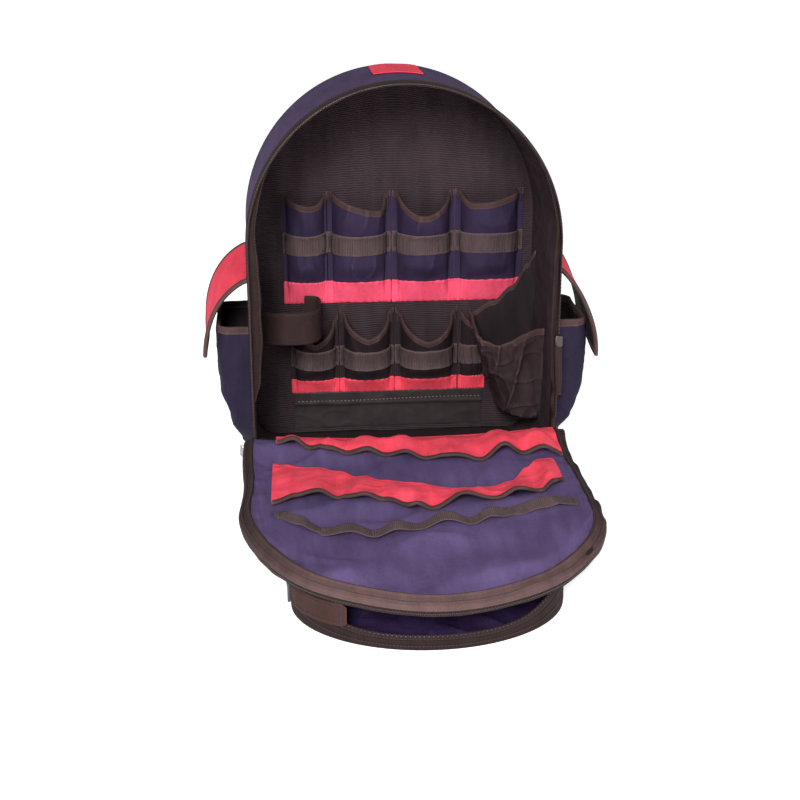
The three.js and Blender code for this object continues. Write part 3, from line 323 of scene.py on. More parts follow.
def volume(pts, faces):
    """Six times the volume in a closed mesh, below 0 when its faces point inwards."""
    total = 0.0
    for size, turns in ((3, [(0, 1, 2)]), (4, [(0, 1, 2), (0, 2, 3)])):
        corners = array([f for f in faces if len(f) == size], int).reshape(-1, size)
        for turn in turns:
            a, b, c = (pts[corners[:, k]] for k in turn)
            total += np.einsum("ij,ij->", a, cross(b, c))
    return total


def place(name, mesh, slot, node):
    obj = bpy.data.objects.new(name, mesh)
    bpy.context.scene.collection.objects.link(obj)
    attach(obj, "root")
    if node:
        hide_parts(node)
    return obj


def piece(name, parts, looks, node=None, slot=None):
    """One object of several closed parts, its faces pointing out, that may stand for a CAD node."""
    parts = parts if isinstance(parts, list) else [parts]
    looks = looks if isinstance(looks, tuple) else (looks,)
    faces, start = [], 0
    for p in parts:
        inward = volume(p.points - p.points.mean(0), p.faces) < 0
        faces += [[i + start for i in (f[::-1] if inward else f)] for f in p.faces]
        start += len(p.points)
    pts, uvs, which = (join([getattr(p, key) for p in parts]) for key in ("points", "uvs", "which"))
    mesh = bpy.data.meshes.new(name)
    mesh.from_pydata((pts * MM).tolist(), [], faces)
    for look in looks:
        mesh.materials.append(look)
    mesh.polygons.foreach_set("material_index", minimum(which, len(looks) - 1))
    mesh.polygons.foreach_set("use_smooth", np.ones(len(faces), bool))
    layer = mesh.uv_layers.new(name="UVMap")
    loop_points = np.empty(len(mesh.loops), np.int32)
    mesh.loops.foreach_get("vertex_index", loop_points)
    layer.data.foreach_set("uv", uvs[loop_points].ravel())
    mesh.update()
    mesh.set_sharp_from_angle(angle=SHARP_ANGLE)
    return place(name, mesh, slot or SLOTS[looks[0].name], node)


def bevelled(node, name, look, width):
    """A rounded copy of a hard CAD node."""
    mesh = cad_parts[node].data.copy()
    mesh.materials.clear()
    mesh.materials.append(look)
    mesh.polygons.foreach_set("use_smooth", np.ones(len(mesh.polygons), bool))
    obj = place(name, mesh, SLOTS[look.name], node)
    obj.modifiers.new("weld", "WELD").merge_threshold = 1e-5
    bevel = obj.modifiers.new("bevel", "BEVEL")
    bevel.width = width * MM
    bevel.segments = BEVEL_STEPS
    bevel.limit_method = "ANGLE"
    bevel.angle_limit = BEVEL_ANGLE


class Look:
    """A material built from nodes."""

    def __init__(self, name, slot):
        SLOTS[name] = slot
        self.mat = bpy.data.materials.new(name)
        self.mat.use_nodes = True
        self.tree = self.mat.node_tree
        self.tree.nodes.clear()
        out = self.tree.nodes.new("ShaderNodeOutputMaterial")
        self.shader = self.tree.nodes.new("ShaderNodeBsdfPrincipled")
        self.tree.links.new(self.shader.outputs[0], out.inputs[0])
        place = self.tree.nodes.new("ShaderNodeTexCoord")
        self.uv = place.outputs["UV"]
        self.spot = place.outputs["Object"]

    def node(self, kind, inputs, **props):
        made = self.tree.nodes.new(kind)
        for key, value in props.items():
            setattr(made, key, value)
        for key, value in inputs.items():
            if isinstance(value, bpy.types.NodeSocket):
                self.tree.links.new(value, made.inputs[key])
            else:
                made.inputs[key].default_value = value
        return made

    def math(self, how, a, b, clamp=False):
        return self.node("ShaderNodeMath", {0: a, 1: b}, operation=how, use_clamp=clamp).outputs[0]

    def noise(self, scale, detail=3.0, place=None, stretch=None):
        vector = place or self.spot
        if stretch:
            vector = self.node("ShaderNodeMapping", {"Vector": vector, "Scale": stretch}).outputs[0]
        made = self.node("ShaderNodeTexNoise", {"Vector": vector, "Scale": scale, "Detail": detail})
        return made.outputs[0]

    def bands(self, pitch, way, wobble=0.0):
        """Ridges every pitch metres across a cloth's own U or V way."""
        inputs = {"Vector": self.uv, "Scale": 2 * PI / (20 * pitch), "Distortion": wobble, "Detail": 1.0}
        return self.node("ShaderNodeTexWave", inputs, bands_direction=way).outputs[1]

    def mix(self, share, a, b, how="MIX"):
        inputs = {"Fac": share, "Color1": a, "Color2": b}
        return self.node("ShaderNodeMixRGB", inputs, blend_type=how).outputs[0]

    def ramp(self, value, low, high):
        inputs = {"Value": value, "From Min": low, "From Max": high}
        return self.node("ShaderNodeMapRange", inputs).outputs[0]

    def finish(self, color, rough, height, strength, depth, **settings):
        links = {"Base Color": color, "Roughness": rough}
        bump = self.node("ShaderNodeBump", {"Height": height, "Strength": strength, "Distance": depth})
        links["Normal"] = bump.outputs[0]
        for key, value in links.items():
            self.tree.links.new(value, self.shader.inputs[key])
        for key, value in settings.items():
            self.shader.inputs[key.replace("_", " ")].default_value = value
        return self.mat

    def ridges(self):
        return self.node("ShaderNodeNewGeometry", {}).outputs["Pointiness"]


def tint(color, share):
    return tuple(min(1.0, c * share) for c in color[:3]) + (1.0,)


def cloth_look(name, slot, color, warp=1.2, weft=1.2, rough=0.82, strength=0.55, fade=0.3, ridge_wear_and_highlight=1.6,
               sheen=0.03, crumple=0.0, depth=0.35, ribbing=0.4, side_shade=None):
    """Woven cloth: warp and weft are its ribs' pitches in mm, None where it has no such rib."""
    look = Look(name, slot)
    ribs = []
    if warp:
        ribs.append(look.bands(warp * MM, "X", 0.6))
    if weft:
        ribs.append(look.bands(weft * MM, "Y", 0.6))
    weave = look.math("MULTIPLY", ribs[0], ribs[1]) if len(ribs) == 2 else ribs[0]
    broad = look.noise(9, 4.0)
    streaks = look.noise(60, 3.0, look.uv, (1.0, 0.2, 1.0))
    lint = look.noise(700, 2.0)
    base = look.mix(look.ramp(broad, 0.3, 0.7), tint(color, 1 - fade), tint(color, 1 + fade))
    base = look.mix(look.ramp(weave, 0.0, 1.0), look.mix(ribbing, base, tint(color, 0.3)), base)
    mottle = look.noise(230, 3.0)
    base = look.mix(look.ramp(mottle, 0.35, 0.65), look.mix(0.3, base, tint(color, 0.5)), base)
    base = look.mix(look.ramp(streaks, 0.35, 1.3), base, tint(color, 1.5))
    base = look.mix(look.ramp(lint, 0.55, 1.6), base, tint(color, 1.9))
    # Ridges and crease tops lightened by pointiness: partly rubbed wear, partly painted highlight
    base = look.mix(look.ramp(look.ridges(), 0.52, 0.66), base, tint(color, ridge_wear_and_highlight))
    # Painted shade: behind y = -0.3 m, on the door band's sides, the colour is darkened towards black to
    # stand in for the shade there
    if side_shade:
        axes = look.node("ShaderNodeSeparateXYZ", {"Vector": look.spot}).outputs
        shaded = look.mix(1 - side_shade, base, tint(color, 0.15))
        base = look.mix(look.ramp(axes[1], -0.44, -0.3), base, shaded)
    dents = look.noise(45, 4.0)
    height = look.math("ADD", look.math("MULTIPLY", weave, 1.0), look.math("MULTIPLY", lint, 0.5))
    height = look.math("ADD", height, look.math("MULTIPLY", dents, 2.0 + crumple))
    gloss = look.ramp(look.math("ADD", broad, look.math("MULTIPLY", weave, 0.3)), 0.2, 1.1)
    rough_map = look.math("ADD", rough - 0.12, look.math("MULTIPLY", gloss, 0.2), clamp=True)
    return look.finish(base, rough_map, height, strength, depth * MM, Sheen_Weight=sheen,
                       Sheen_Roughness=0.4, Sheen_Tint=tint(color, 4.0), Specular_IOR_Level=0.12)


NAVY = (0.104, 0.071, 0.172)
POCKET_NAVY = (0.056, 0.037, 0.09)
RED = (0.80, 0.05, 0.088)
BLACK = (0.034, 0.023, 0.027)
BROWN = (0.052, 0.03, 0.029)

navy = cloth_look("navy_weave", "navy_fabric", tint(NAVY, 0.86), 1.3, 1.3, fade=0.26, sheen=0.05)
navy_body = cloth_look("navy_body_weave", "navy_fabric", (0.054, 0.034, 0.086), 1.3, 1.3, ridge_wear_and_highlight=2.2)
navy_dark = cloth_look("navy_pocket_weave", "navy_fabric", tint(POCKET_NAVY, 0.56), fade=0.35, ridge_wear_and_highlight=2.4)
navy_side = cloth_look("navy_side_weave", "navy_fabric", tint(NAVY, 0.16), 1.3, 1.3, fade=0.4, ridge_wear_and_highlight=2.6)
red = cloth_look("red_weave", "red_fabric", RED, fade=0.1, ridge_wear_and_highlight=1.15)
# A brighter copy of the red cloth: the door pockets' red, and on the lower pockets' band painted light,
# brighter than the lamps make that band
door_red_lit_band = cloth_look("door_red_lit_band_weave", "red_fabric", (0.95, 0.07, 0.11), fade=0.08, ridge_wear_and_highlight=1.1)
band_red = cloth_look("band_red_weave", "red_fabric", (0.92, 0.085, 0.16), fade=0.1, ridge_wear_and_highlight=1.1)
# Painted shade: a dark copy of the red cloth for the undersides of the door's pockets
red_shaded_under = cloth_look("red_shaded_underside", "red_fabric", tint(RED, 0.3), fade=0.2, ridge_wear_and_highlight=1.2)
black = cloth_look("black_weave", "black_fabric", tint(BLACK, 0.62), 1.1, 1.1, fade=0.35, ridge_wear_and_highlight=3.2)
# A lighter, browner copy of the black cloth for the corner pocket: partly its own browner tone, partly
# painted highlight on its creases
corner_black_highlit = cloth_look("corner_highlit_weave", "black_fabric", (0.034, 0.021, 0.024), 1.1, 1.1, rough=0.7,
                          fade=0.35, ridge_wear_and_highlight=3.6)
lining = cloth_look("ribbed_lining", "black_fabric", tint(BLACK, 1.25), None, 3.1, fade=0.35, strength=0.9,
                    depth=0.8, ridge_wear_and_highlight=2.2, ribbing=0.85)
tape = cloth_look("ribbed_tape", "binding", tint(BROWN, 1.15), 1.5, None, strength=0.7, depth=0.5, ridge_wear_and_highlight=2.2,
                  ribbing=0.6)
rim_tape = cloth_look("dark_ribbed_tape", "binding", tint(BROWN, 0.42), 1.5, None, fade=0.35, strength=0.8,
                      depth=0.5, ridge_wear_and_highlight=2.6, ribbing=0.6)
# The door band's tape, with painted shade on its sides
band_tape = cloth_look("pale_tape", "binding", tint(BROWN, 1.75), 1.3, 2.4, fade=0.25, strength=0.6, ridge_wear_and_highlight=1.8,
                       side_shade=0.18)
elastic = cloth_look("ribbed_elastic", "elastic", (0.085, 0.057, 0.059), 2.3, None, fade=0.2, strength=0.9,
                     depth=0.6, ribbing=0.6)
webbing = cloth_look("webbing_weave", "webbing", tint(BROWN, 0.6), 2.0, 1.6, strength=0.8, depth=0.5)
tab_webbing = cloth_look("tab_webbing_weave", "webbing", (0.046, 0.021, 0.018), 2.0, 1.6, strength=0.7,
                         depth=0.5)
coated = cloth_look("coated_black", "coated_fabric", (0.03, 0.022, 0.023), 1.4, 1.4, rough=0.45, sheen=0.0,
                    crumple=2.0, ridge_wear_and_highlight=2.5)
coated_navy = cloth_look("coated_navy", "navy_fabric", (0.026, 0.016, 0.05), rough=0.32, fade=0.45, sheen=0.0,
                         crumple=3.0, ridge_wear_and_highlight=2.2)
dark_thread = cloth_look("dark_thread", "webbing", (0.03, 0.021, 0.022), 0.8, None, fade=0.2, sheen=0.0)
pale_thread = cloth_look("pale_thread", "coated_fabric", (0.12, 0.09, 0.09), 0.8, None, fade=0.2, sheen=0.0)
red_thread = cloth_look("red_thread", "red_fabric", (0.5, 0.03, 0.05), 0.8, None, fade=0.2, sheen=0.0)
GRAIN_DEPTH = 0.0001


def moulded_look(name, slot, scuffing, dark, pale, smoothest, spread, grain, strength, ridge_wear_and_highlight=None):
    look = Look(name, slot)
    scuffs = look.noise(*scuffing)
    base = look.mix(look.ramp(scuffs, 0.3, 0.8), dark, pale)
    # Ridges lightened by pointiness: partly rubbed wear, partly painted highlight
    if ridge_wear_and_highlight:
        base = look.mix(look.ramp(look.ridges(), 0.52, 0.7), base, ridge_wear_and_highlight)
    rough = look.math("ADD", smoothest, look.math("MULTIPLY", scuffs, spread))
    return look.finish(base, rough, look.noise(grain, 2.0), strength, GRAIN_DEPTH)


def metal_look(name, clean, tarnished):
    look = Look(name, "metal")
    scratches = look.noise(240, 5.0, None, (1.0, 6.0, 0.6))
    base = look.mix(look.ramp(look.noise(55, 4.0), 0.35, 0.75), clean, tarnished)
    rough = look.math("ADD", 0.22, look.math("MULTIPLY", scratches, 0.25))
    return look.finish(base, rough, scratches, 0.12, GRAIN_DEPTH, Metallic=1.0)


plastic = moulded_look("moulded_plastic", "plastic", (60, 6.0), (0.012, 0.012, 0.013, 1),
                       (0.03, 0.029, 0.03, 1), 0.36, 0.22, 900, 0.25, (0.09, 0.088, 0.09, 1))
coil = moulded_look("nylon_coil", "zip_coil", (70, 5.0), (0.022, 0.017, 0.017, 1), (0.05, 0.038, 0.038, 1),
                    0.35, 0.25, 800, 0.2)
metal = metal_look("nickel_plate", (0.5, 0.48, 0.46, 1), (0.3, 0.28, 0.26, 1))
dark_metal = metal_look("dark_metal", (0.1, 0.085, 0.085, 1), (0.05, 0.043, 0.043, 1))

# Outline of the body, t = 0 at its left foot and 1 at its right foot, inset measured inwards
CORNER_SHARE, SIDE_SHARE = 0.08, 0.22
ARCH_FROM = CORNER_SHARE + SIDE_SHARE


def half_width(share):
    return lerp(RIM_W, BACK_W, share) / 2


def share_at(y):
    return (y + HALF_D) / BODY_D


def body_outline(t, share, inset):
    s = minimum(t, 1 - t)
    half = half_width(share)
    crown = lerp(RIM_H, BACK_H, share) - SPRING_Z - inset
    foot_turn = clamp01(s / CORNER_SHARE) * PI / 2
    r = FOOT_R - inset
    side = (s - CORNER_SHARE) / SIDE_SHARE
    turn = clamp01((s - ARCH_FROM) / (0.5 - ARCH_FROM)) * PI / 2
    at_foot, at_side = s < CORNER_SHARE, side < 1
    x = where(at_side, -(half - inset), -(half - inset) * cos(turn))
    x = where(at_foot, -(half - FOOT_R) - r * sin(foot_turn), x)
    z = where(at_side, lerp(FOOT_R, SPRING_Z, side), SPRING_Z + crown * sin(turn))
    z = where(at_foot, FOOT_R - r * cos(foot_turn), z)
    return where(t > 0.5, -x, x), z


def body_stations(n, low=0.0, high=1.0):
    """Places along the outline at about even distances."""
    t = steps(4000, low, high)
    x, z = body_outline(t, 1.0, 0.0)
    run = join([[0], np.cumsum(hypot(np.diff(x), np.diff(z)))])
    return np.interp(steps(n, 0, run[-1]), run, t)


def body_wall(t, y, inset):
    x, z = body_outline(t, share_at(y), inset)
    return points(x, y, z)


def inner_side(y):
    return half_width(share_at(y)) - WALL


def outer_side(y):
    return half_width(share_at(y))


def rim_line(t, y, inset):
    """A line along the body's wall, with the directions that point out of it."""
    line = body_wall(t, y, inset)
    return line, unit(body_wall(t, y, inset - 1) - line)


def build_body():
    t, y = grid(body_stations(230), steps(36, TAPE_BACK_Y + CLEAR, WALL_Y - CLEAR))
    plain = body_wall(t, y, 0)
    held = smooth((y - TAPE_BACK_Y) / 18) * smooth((WALL_Y - y) / 18)
    inset = held * (0.9 + 0.9 * waves(11, 120)(plain) + 0.3 * waves(12, 45)(plain))
    crumple = 0.9 * waves(15, 60)(plain) + 1.5 * creases(16, 62)(plain)
    wall = slab(body_wall(t, y, inset), body_wall(t, y, inset * 0.5 + WALL + held * crumple))
    piece("body_gusset", wall, (navy_body, lining, navy_body), "gusset")

    # Rim tape: a rolled front binding, a groove and a flat ribbed tape
    t, y = grid(body_stations(300), steps(22, -HALF_D, TAPE_BACK_Y))
    across = (y + HALF_D) / RIM_TAPE_W
    roll = 1.1 * hump(across, 0.16, 0.14) - 0.9 * hump(across, 0.42, 0.04) - 0.9 * hump(across, 0.95, 0.04)
    right = smooth((t - 0.6) / 0.06) * smooth((0.93 - t) / 0.06)
    left = smooth((t - 0.08) / 0.06) * smooth((0.4 - t) / 0.06)
    crumple = (1.9 * right * smooth(1.2 - across) + 0.7 * left) * abs(waves(13, 30)(body_wall(t, y, 0)))
    rolled = slab(body_wall(t, y, -roll * 0.8), body_wall(t, y, RIM_TAPE_T - 0.6 + crumple))
    piece("body_rim_tape", rolled, rim_tape, "rim_tape")

    # Piping at the back and along the seam between the rim tape and the gusset
    stations = body_stations(240)
    x, z = body_outline(stations, 1.0, PIPING_R)
    piping = rod(points(x, WALL_Y + PIPING_R, z + CLEAR), PIPING_R - CLEAR / 2, PIPING_SIDES)
    piece("body_back_piping", piping, rim_tape, "back_piping")
    seam_piping = rod(body_wall(stations, TAPE_BACK_Y, 0.6), SEAM_PIPING_R, THIN_SIDES)
    piece("body_seam_piping", seam_piping, webbing, slot="binding")

    # Zip along the rim: its tape, its teeth and the stitches behind it
    coil_from = CORNER_SHARE + SIDE_SHARE * 0.2
    front, back = -HALF_D - CLEAR - COIL_W, -HALF_D - CLEAR
    t, y = grid(body_stations(300, coil_from, 1 - coil_from), steps(5, front, back))
    inset = (RIM_TAPE_T - COIL_T) / 2 + 0.5
    wavy = inset + 0.35 * waves(14, 22)(body_wall(t, y, 0))
    zip_tape = slab(body_wall(t, y, wavy), body_wall(t, y, wavy + 1.1))
    piece("rim_zip_tape", zip_tape, rim_tape, "rim_zipper", "zip_tape")
    line_t = body_stations(500, coil_from, 1 - coil_from)
    line, normal = rim_line(line_t, front + 1.6, inset - 0.1)
    piece("rim_zip_teeth", teeth(line, AHEAD, normal), coil)
    for name, depth in (("front", -HALF_D + 7.5), ("back", TAPE_BACK_Y - 3)):
        piece(f"rim_stitches_{name}", stitches(*rim_line(line_t, depth, -0.25)), dark_thread, slot="binding")


def build_flanges():
    """The zip's loose tape, folded in towards the opening on both sides."""
    rows = table("t width", [(0.15, 2), (0.17, 9), (0.22, 12), (0.28, 11), (0.33, 6), (0.37, 1)])
    for side, sign, share, seed in (("left", 1, 1, 21), ("right", -1, 0.62, 22)):
        t, v = grid(body_stations(150, 0.15, 0.37), steps(10))
        width = along(rows, "t", "width", t) * share
        ripple = waves(seed, 26)(points(t * 900, v * 8, 0 * t))
        y = -HALF_D - 1.2 - 1.4 * sin(v * PI) * (1 + ripple * 0.8) - 0.5 * ripple * v
        x, z = body_outline(t, share_at(-HALF_D), 2.5 + v * width * (1 + 0.06 * ripple))
        p = points(x * sign, y, z)
        piece(f"rim_flange_{side}", sheet(p, 1.0), rim_tape, slot="zip_tape")
        seam = stitches(p[:, 8] + 0.6 * AHEAD, AHEAD)
        piece(f"rim_flange_{side}_stitches", seam, dark_thread, slot="zip_tape")


def patch_point(u, v, lift):
    turn = PI / 2 + lerp(1, -1, u) * YOKE_W / BACK_W
    y = lerp(0, WALL_Y - CLEAR, v)
    crown = lerp(RIM_H, BACK_H, share_at(y)) - SPRING_Z
    return points((half_width(share_at(y)) + lift) * cos(turn), y, SPRING_Z + (crown + lift) * sin(turn))


def build_back():
    inset = 2 * PIPING_R + CLEAR
    foot, top, arch = 0.6, BACK_H - inset, 0.62
    v = join([steps(48, 0, arch)[:-1], arch + (1 - arch) * sin(steps(50, 0, PI / 2))])
    u, v = grid(steps(90, -1, 1), v)
    z = lerp(foot, top, v)
    half, r = BACK_W / 2 - inset, FOOT_R - inset
    in_foot = clamp01(1 - (z - inset) / r)
    in_arch = clamp01((z - SPRING_Z) / (top - SPRING_Z))
    wide = where(z < FOOT_R, half - r * (1 - sqrt(1 - in_foot**2)), half)
    wide = where(z > SPRING_Z, half * sqrt(maximum(0, 1 - in_arch**2)), wide)
    x = u * maximum(wide, 2.0)
    away = abs(x)
    flat = points(x, HALF_D, z)
    soft = waves(31, 90)(flat) + 1.2 * creases(35, 120)(flat)
    front = points(x, WALL_Y + 0.6 - 0.7 * soft * smooth((1 - abs(u)) / 0.08), z)
    # Quilted channels: a hollow down the middle and slanted seams on both sides
    edge = minimum(1 - abs(u), minimum(v, 1 - v) * 2.4)
    slant = abs(((z + away * 0.35) % 74) - 37)
    groove = hump(away, 26, 3.0) + hump(away, 132, 3.0) * (z < 380)
    groove = groove + hump(slant, 0, 3.0) * (away > 26) * (away < 132)
    plump = smooth(edge / 0.14) * (1 - 0.75 * clamp01(groove)) - 0.25 * hump(away, 0, 22)
    back = points(x, HALF_D - 3.4 + 3.2 * plump + 0.15 * soft, z)
    piece("back_pad", slab(back, front), (black, lining, black), "back_panel")

    # Base and sill
    u, v = grid(steps(50), steps(30))
    y = lerp(-HALF_D, WALL_Y - CLEAR, v)
    half = half_width(share_at(y)) - FOOT_R + 3
    x = lerp(-half, half, u)
    base = slab(points(x, y, BASE_T - 0.6 + 0.5 * waves(32, 60)(points(x, y, 0))), points(x, y, 0))
    piece("body_base", base, (coated, black), "base_panel", "black_fabric")
    half = RIM_W / 2 - RIM_TAPE_T - CLEAR
    u, v = grid(steps(90), steps(14))
    x = lerp(-half, half, u)
    past = maximum(0, abs(x) - (RIM_W / 2 - FOOT_R))
    r = FOOT_R - RIM_TAPE_T - CLEAR - 1
    low = maximum(BASE_T + CLEAR, FOOT_R - sqrt(maximum(0, r * r - past * past)))
    z = lerp(low, sill_top(x), v)
    y = -HALF_D + 0.6 * waves(33, 50)(points(x, 0 * x, z)) * sin(PI * v)
    piece("body_sill", slab(points(x, y + 0.3, z), points(x, y + WALL, z)), (black, coated), "front_sill")

    # Red patch on top, with its rows of stitches
    u, v = grid(steps(40), steps(40))
    lift = CLEAR + ELASTIC_T - 0.6 + 0.3 * waves(34, 30)(patch_point(u, v, 0))
    piece("top_patch", slab(patch_point(u, v, lift), patch_point(u, v, CLEAR - 0.6)), red, "top_yoke")
    s = steps(60, 0.05, 0.95)
    high = CLEAR + ELASTIC_T - 0.4
    rows = [stitches(patch_point(across, s, high), UP) for across in (0.05, 0.12, 0.88, 0.95)]
    piece("top_patch_stitches", rows, red_thread)


def sill_top(x):
    return SILL_H + CORNER_RISE * (x / (RIM_W / 2)) ** 2


build_body()
build_flanges()
build_back()

# Rows of tool pockets on the back wall: places are shares of half the back's width
PLACES = "left right deep dip peak"
UPPER = Namespace(
    name="upper", foot=214, mouth=332, deep=38, band=29, elastic=266, seed=40, rounded=True,
    low=(0.6, 0.72, 0.48, 0.32), cloth=navy_dark, red=band_red, slot="navy_fabric",
    pockets=table(PLACES, [
        (-0.735, -0.462, 0.8, 0.1, 1.0), (-0.438, -0.03, 1, 0.19, 1.03),
        (0.01, 0.408, 1.05, 0.24, 1.03), (0.442, 0.885, 0.9, 0.13, 1.04),
    ]),
)
LOWER = Namespace(
    name="lower", foot=80, mouth=176, deep=42, band=19, elastic=112, seed=60, rounded=False,
    # The band's red is painted light: a brighter copy of the red cloth
    low=(0.5, 0.5, 0.5, 0.5), cloth=black, red=door_red_lit_band, slot="black_fabric",
    pockets=table(PLACES, [
        (-0.7, -0.4, 0.8, 0.36, 0.96), (-0.36, -0.01, 1, 0.36, 1.05),
        (0.03, 0.44, 1.05, 0.42, 1.05), (0.485, 0.64, 0.4, 0.2, 1.02),
    ]),
)
POCKET_FORM = table("up out", [(0, 0.34), (0.22, 0.72), (0.45, 0.84), (0.7, 0.96), (1, 1)])
SEAM_W, FLANGE, NEAR_SEAM, ELASTIC_W, WALL_STRIP_W = 0.035, 0.1, 0.002, 26, 50


def pocket_turn(s):
    return PI * clamp01((s - FLANGE) / (1 - 2 * FLANGE))


def pocket_swell(s):
    return maximum(0, sin(pocket_turn(s))) ** 0.92


def row_point(row, k, s, z):
    """The cloth of one pocket, counted out from the wall: s runs across it, from seam to seam."""
    cell = {key: column[k] for key, column in row.pockets.items()}
    half = BACK_W / 2
    left = (cell["left"] - SEAM_W / 2) * half + CLEAR
    right = (cell["right"] + SEAM_W / 2) * half - CLEAR
    up = clamp01((z - row.foot) / (row.mouth - row.foot))
    close = clamp01(1 - (row.foot - z) / row.band)
    swell = pocket_swell(s)
    out = row.deep * cell["deep"] * along(POCKET_FORM, "up", "out", up) * swell * close
    # The elastic draws the cloth in, with small pleats beside it
    near = hump(z, row.elastic, 17)
    out = out - 4.2 * near * swell
    pleats = sin(s * 38 + k * 2 + 0.05 * z) * (0.9 * hump(z, row.elastic, 34) - 0.5 * near)
    out = out + swell * pleats * smooth((z - row.foot) / 12)
    round_s = lerp(FLANGE, 1 - FLANGE, (1 - cos(pocket_turn(s))) / 2)
    flat = (s < FLANGE) | (s > 1 - FLANGE)
    x = lerp(left, right, where(flat, s, round_s))
    y = WALL_Y - CLEAR - CLOTH / 2 - out
    p = points(x, y, z)
    hold = smooth((z - row.foot + 4) / 16) * swell
    upright = p * array([1.0, 1.0, 0.5])
    dent = waves(row.seed + k, 45)(upright) * 1.7 - creases(row.seed + 10 + k, 48)(upright) * 2.6
    p[..., 1] += hold * (1 - near) * dent
    return p


def cell_steps(n):
    return steps(n, NEAR_SEAM, 1 - NEAR_SEAM)


def build_pocket(row, k, made):
    """One pocket of a row: its cloth as a piece, and its trimmings added to the lists in made."""
    cells = row.pockets
    s_line = cell_steps(74)

    def cloth(s, z, lift):
        normal = cloth_normal(lambda s, z: row_point(row, k, s, z), s, z, 0.004, 0.4)
        return row_point(row, k, s, z) + normal * np.asarray(lift)[..., None], normal

    def lip(s):
        low = row.low[k]
        away = where(s < low, (low - s) / low, (s - low) / (1 - low))
        dip = 1 - smooth(away) if row.rounded else 1 - away**1.25
        return row.foot + (row.mouth - row.foot) * (cells["peak"][k] - 0.02 - cells["dip"][k] * dip)

    s, v = grid(s_line, steps(56))
    z = lerp(row.foot + CLEAR, lip(s) - CLOTH_TOP, v)
    piece(f"{row.name}_pocket_cloth_{k + 1}", shell(cloth, s, z, FACE, -FACE),
          (row.cloth, black, row.cloth), f"{row.name}_pocket_{k + 1}")
    trim, seam = hem(cloth, s_line, lip(s_line), BINDING_W, CLOTH + 1.6, BINDING_W - 1)
    made["binding"].append(trim)
    made["seams"].append(seam)

    # Elastic over the cloth, gathered between its edges
    s, v = grid(cell_steps(100), steps(10, -0.5, 0.5))
    z = row.elastic + v * ELASTIC_W + 0.5 * sin(s * 9 + k)
    ribs = 0.22 * sin(s * 260) + 0.5 * abs(v * 2) ** 6
    made["elastic"].append(shell(cloth, s, z, FACE + 0.5 + ELASTIC_T + ribs, FACE + 0.3))

    # Red band that closes the pocket to the wall
    s, v = grid(cell_steps(76), steps(15))
    z = lerp(row.foot - row.band, row.foot + 0.2, v)
    plain, _ = cloth(s, z, 0)
    pucker = sin(s * 70 + 3 * k) * (hump(v, 0, 0.25) + hump(v, 1, 0.25)) + waves(80 + k, 24)(plain)
    made["band"].append(shell(cloth, s, z, FACE + 0.2 + 0.5 * pucker, -FACE))
    for depth in (2.2, row.band - 2.4):
        made["red seams"].append(stitches(*cloth(s_line, row.foot - depth, FACE + 0.5), FIRM))

    # Seams at the pocket's two sides, with bar tacks at the elastic and the mouth
    for side in (0.045, 0.955):
        high = lip(array(side)) - 9
        made["seams"].append(stitches(*cloth(side, steps(40, row.foot + 2, high), FACE + 0.1), FIRM))
        for middle in (row.elastic, high):
            line, normal = cloth(side, steps(16, middle - 8, middle + 8), FACE + ELASTIC_T + 0.6)
            made["tacks"].append(teeth(line, RIGHT, normal, BAR_TACK))


def build_pocket_row(row):
    made = {key: [] for key in ("binding", "elastic", "band", "seams", "tacks", "red seams")}
    for k in range(4):
        build_pocket(row, k, made)
    name = row.name
    piece(f"{name}_pocket_binding", made["binding"], tape, f"{name}_binding")
    piece(f"{name}_pocket_elastic", made["elastic"], elastic, f"{name}_elastic")
    piece(f"{name}_pocket_band", made["band"], row.red, f"{name}_red_band")
    piece(f"{name}_pocket_stitches", made["seams"] + made["tacks"], dark_thread, slot=row.slot)
    piece(f"{name}_band_stitches", made["red seams"], red_thread)


def build_wall_strip():
    left, right = LOWER.pockets["left"][0] * BACK_W / 2, LOWER.pockets["right"][3] * BACK_W / 2
    high = LOWER.foot - LOWER.band - CLEAR
    u, v = grid(steps(90), steps(32))
    x, z = lerp(left, right, u), lerp(high - WALL_STRIP_W, high, v)
    fold = 1.5 * smooth((z - 41) / 3) + 0.8 * hump(z, 44, 2.5) + 0.5 * creases(90, 50)(points(x, 0, z * 1.6))
    y = WALL_Y - CLEAR - 1 - fold - 0.4 * waves(91, 40)(points(x, 0, z))
    piece("coated_strip", slab(points(x, y, z), points(x, WALL_Y - CLEAR, z)), coated, "wall_strip")
    xs = steps(90, left + 3, right - 3)
    line = points(xs, WALL_Y - CLEAR - 3.3, 49.5 + 1.1 * sin(xs * 0.02))
    piece("coated_strip_stitches", stitches(line, AHEAD, WIDE), pale_thread)


CORNER_SLOPE = table("across rise", [(0, 0.1), (0.36, 0.27), (0.65, 0.49), (0.88, 0.82), (1, 1)])
CORNER_FORM = table("up out", [(0, 0), (0.05, 0.6), (0.16, 0.9), (0.6, 0.96), (1, 1)])
CORNER_LIP = table("share rise", [(0, 0.08), (0.3, 0), (0.62, -0.08), (1, 0.05)])


